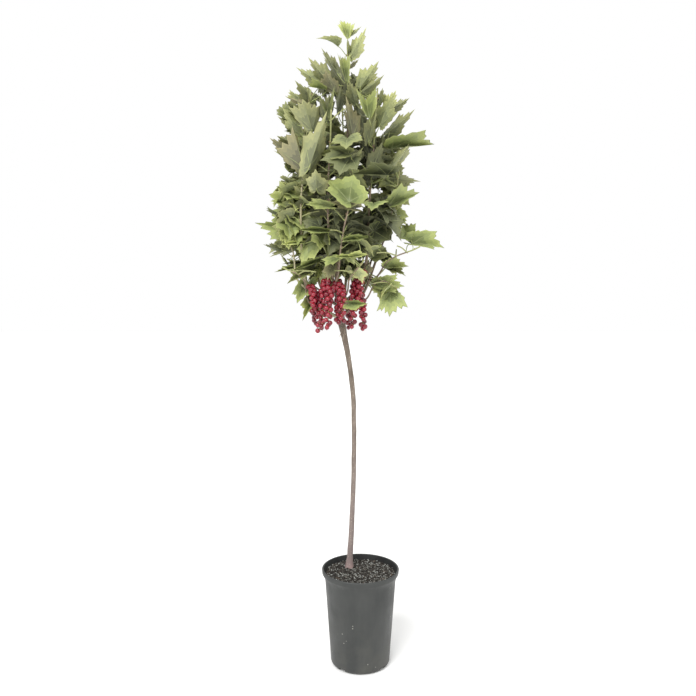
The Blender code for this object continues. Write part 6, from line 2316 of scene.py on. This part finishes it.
def make_fruit(trusses):
    """Hanging trusses of berries in two reds: the dark red is riper fruit by chance, and painted shade on the
    trusses at the back.
    """
    dice = random.Random(FRUIT_SEED)
    reds = [Piece(), Piece()]
    stalks = Piece()
    ends = Piece()
    for number, route in enumerate(trusses):
        points = spline(rooted(route, TRUSS_SUNK, 1.0), TRUSS_RING_STEP)[0]
        sweep(stalks, points, np.linspace(*TRUSS_TAPER, len(points)) * STRIG_RADIUS, TRUSS_SIDES)
        length = TRUSSES[number][3]
        berries = int((1.0 - FRUIT_BARE) * length / FRUIT_STEP)
        for berry in range(berries):
            share = berry / (berries - 1)
            place = FRUIT_BARE + (1.0 - FRUIT_BARE) * share
            here, ahead = along(route, place)[:2]
            radius = FRUIT_RADII[0] + (FRUIT_RADII[1] - FRUIT_RADII[0]) * share
            radius *= dice.uniform(*FRUIT_SIZES)
            side = squared(aim(berry * GOLDEN_ANGLE + number, 0.0), ahead)
            out = FRUIT_OUT * (1.0 - FRUIT_NARROWING * share) * min(length / FRUIT_FULL, 1.0)
            centre = here + side * out - raised(dice.uniform(*FRUIT_DROPS))
            # Painted shade: berries of the shaded trusses take the dark red; others by chance, as riper fruit
            ripe = int(TRUSSES[number][0] in SHADED_TRUSSES or dice.random() < FRUIT_DARK_SHARE)
            add_berry(reds[ripe], ends, stalks, centre, here, radius, dice)
    nodes = ["currants_" + str(number + 1) for number in range(len(TRUSSES))]
    for piece, (name, *colours) in zip(reds, BERRY_COLOURS):
        piece.make("currants_" + name, [berry_shader("berry_" + name, *colours)], "berry", nodes)
    stalks.make("currant_stalks", [stem_shader("strig_green", STRIG_LOW, STRIG_HIGH, STRIG_FLECK)], "berry")
    ends.make("currant_ends", [stem_shader("flower_end", END_LOW, END_HIGH, END_LOW)], "berry")


def turned(profile, sides):
    """Points and faces of a profile turned about the vertical axis, on which it starts and ends."""
    points = [(0.0, 0.0, profile[0][1])]
    for radius, height in profile[1:-1]:
        for side in range(sides):
            angle = side * math.tau / sides
            points.append((radius * math.cos(angle), radius * math.sin(angle), height))
    points.append((0.0, 0.0, profile[-1][1]))
    return points, turned_faces(len(profile) - 2, sides)


def lumpy(x, y, z):
    """A point of the soil's top raised or sunk by the lumps there."""
    rough = sum(noise.noise(Vector((x * f, y * f, f))) / f * SOIL_WAVES[0] for f in SOIL_WAVES)
    return x, y, z + SOIL_LUMPS * rough


def make_potting_soil():
    """The soil: a crumbly top, a plain hidden body, and loose crumbs, chips, grit and fibres."""
    dice = random.Random(SOIL_SEED)
    level = POT_HEIGHT - SOIL_BELOW_RIM
    rim = inner_radius(level) - CLEARANCE
    rings = SOIL_TOP_RINGS
    floor = POT_WALL + CLEARANCE
    profile = [(rim * ring / rings, level) for ring in range(rings + 1)]
    profile += [(inner_radius(FOOT_ROUND) - 2 * CLEARANCE, FOOT_ROUND + floor)]
    profile += [(FOOT_RADIUS - FOOT_ROUND - 2 * CLEARANCE, floor), (0.0, floor)]
    points, faces = turned(profile, SOIL_TOP_SIDES)
    last = 1 + rings * SOIL_TOP_SIDES
    points[1:last] = [lumpy(*point) for point in points[1:last]]
    bed = Piece()
    bed.add(points, faces)
    finish = soil_shader("soil_dark", SOIL_BROWN, SOIL_BLACK, SOIL_SCALE)
    bed.make("soil_bed", [finish], "soil", ["potting_soil"])
    seat = soil_seat()
    for name, count, size, shape, colours in SOIL_BITS:
        bits = Piece()
        made = 0
        while made < count:
            radius = rim * math.sqrt(dice.random()) * BITS_WITHIN
            angle = dice.uniform(0.0, math.tau)
            place = Vector((radius * math.cos(angle), radius * math.sin(angle), level))
            if (place - seat).length < BITS_OFF_TRUNK:
                continue
            made += 1
            add = add_bit if shape else add_fibre
            add(bits, place, dice.uniform(*size), shape, dice)
        bits.make("soil_" + name, [soil_shader("soil_" + name, *colours, BIT_SCALE)], "soil")


def add_fibre(piece, place, size, shape, dice):
    """Add one fibre to the soil, unless it would cross the pot's wall."""
    reach = aim(dice.uniform(0.0, math.tau), 0.0) * size
    rise = raised(dice.uniform(*FIBRE_RISES))
    bend = Vector((dice.uniform(-1, 1), dice.uniform(-1, 1), dice.uniform(0.0, 0.5))) * size * FIBRE_BEND
    end = place + reach + rise * FIBRE_END_RISE
    if math.hypot(*end[:2]) < inner_radius(place.z) - FIBRE_OFF_WALL:
        points = [place + rise * 0.5, place + reach * 0.5 + bend + rise, end]
        sweep(piece, *spline((points, FIBRE_RADII), FIBRE_STEP), FIBRE_SIDES)


def add_bit(piece, place, size, shape, dice):
    """Add one rough crumb, chip or bit of grit to the soil; its shape is how flat and long it is."""
    heading = dice.uniform(0.0, math.tau)
    flat, long = shape
    turn = Vector((math.cos(heading), math.sin(heading), dice.uniform(*BIT_TILTS))).normalized()
    over = turn.cross(Vector(BIT_UPPER)).normalized()
    up = over.cross(turn)
    corners, faces = icosphere(2, size / 2)
    points = []
    for corner in corners:
        spot = corner * dice.uniform(*BIT_ROUGHNESS)
        spot = place + turn * spot.x * long + over * spot.y + up * spot.z * flat
        points.append(tuple(spot + raised(BIT_RISE * size * flat + SOIL_LUMPS)))
    piece.add(points, faces)


def make_pot():
    """The pot, turned fine, with its rolled lip, rounded foot and the notches that drain it."""
    shoulder = POT_HEIGHT - LIP_HEIGHT
    inside = LIP_RADIUS - LIP_WALL
    profile = [(0.0, POT_WALL), (FOOT_RADIUS - FOOT_ROUND, POT_WALL)]
    profile += [(inner_radius(FOOT_ROUND), FOOT_ROUND + POT_WALL), (inner_radius(shoulder), shoulder)]
    for turns, radius, height in ((LIP_INSIDE, inside, POT_HEIGHT), (LIP_TOP, LIP_RADIUS, POT_HEIGHT),
                                  (LIP_UNDERSIDE, LIP_RADIUS, shoulder)):
        profile += [(radius + out * LIP_ROUND, height + up * LIP_ROUND) for out, up in turns]
    for step in range(1, POT_FILLET_STEPS + 1):
        share = step / POT_FILLET_STEPS
        height = shoulder - POT_FILLET * share
        profile.append((outer_radius(height) + POT_FILLET_REACH * (1.0 - share)**POT_FILLET_POWER, height))
    start = shoulder - POT_FILLET
    for row in range(1, POT_WALL_ROWS):
        height = start + (FOOT_ROUND - start) * row / POT_WALL_ROWS
        profile.append((outer_radius(height), height))
    for step in range(FOOT_STEPS + 1):
        turn = math.pi / 2 * step / FOOT_STEPS
        inwards = FOOT_ROUND * (1.0 - math.cos(turn))
        profile.append((FOOT_RADIUS - inwards, FOOT_ROUND * (1.0 - math.sin(turn))))
    profile.append((0.0, 0.0))
    shell = Piece()
    shell.add(*turned(profile, POT_SIDES))
    pot = shell.make("pot_shell", [pot_shader(), inner_shader()], "pot", ["pot"])
    cut_notches(pot)
    # Faces of the inner wall get the lining's painted shade
    for polygon in pot.data.polygons:
        x, y, z = polygon.center
        inward = polygon.normal.x * x + polygon.normal.y * y < 0.0
        polygon.material_index = int(inward and FOOT_ROUND < z < POT_HEIGHT - LIP_ROUND)


def cut_notches(pot):
    """Cut the drain notches out of the pot's foot."""
    for number in range(NOTCH_COUNT):
        angle = NOTCH_ANGLE + number * math.tau / NOTCH_COUNT
        shape = bmesh.new()
        bmesh.ops.create_cube(shape, size=1.0)
        bmesh.ops.scale(shape, verts=shape.verts, vec=(2 * NOTCH_DEPTH, NOTCH_WIDTH, 2 * NOTCH_HEIGHT))
        bmesh.ops.bevel(shape, geom=shape.edges, offset=NOTCH_ROUND, segments=3,
                        affect="EDGES", profile=0.5)
        bmesh.ops.rotate(shape, verts=shape.verts, matrix=Matrix.Rotation(angle, 3, "Z"))
        middle = Vector((FOOT_RADIUS * math.cos(angle), FOOT_RADIUS * math.sin(angle), 0.0))
        bmesh.ops.translate(shape, verts=shape.verts, vec=middle)
        mesh = bpy.data.meshes.new("notch")
        shape.to_mesh(mesh)
        shape.free()
        cutter = new_object("notch", mesh)
        cut = pot.modifiers.new("notch", "BOOLEAN")
        cut.operation = "DIFFERENCE"
        cut.object = cutter
        cut.solver = "EXACT"
        graph = bpy.context.evaluated_depsgraph_get()
        cleared = bpy.data.meshes.new_from_object(pot.evaluated_get(graph))
        pot.modifiers.clear()
        pot.data = cleared
        bpy.data.objects.remove(cutter, do_unlink=True)
    for polygon in pot.data.polygons:
        polygon.use_smooth = True


def main():
    """Camera, light and floor, then the pot, the soil and the plant."""
    make_camera()
    make_lights()
    make_floor()
    make_pot()
    make_potting_soil()
    routes, stems, trusses, leaves, twigs = grow_plant()
    make_wood(routes, stems, twigs, leaves)
    make_fruit(trusses)
    make_leaves(leaves)


main()
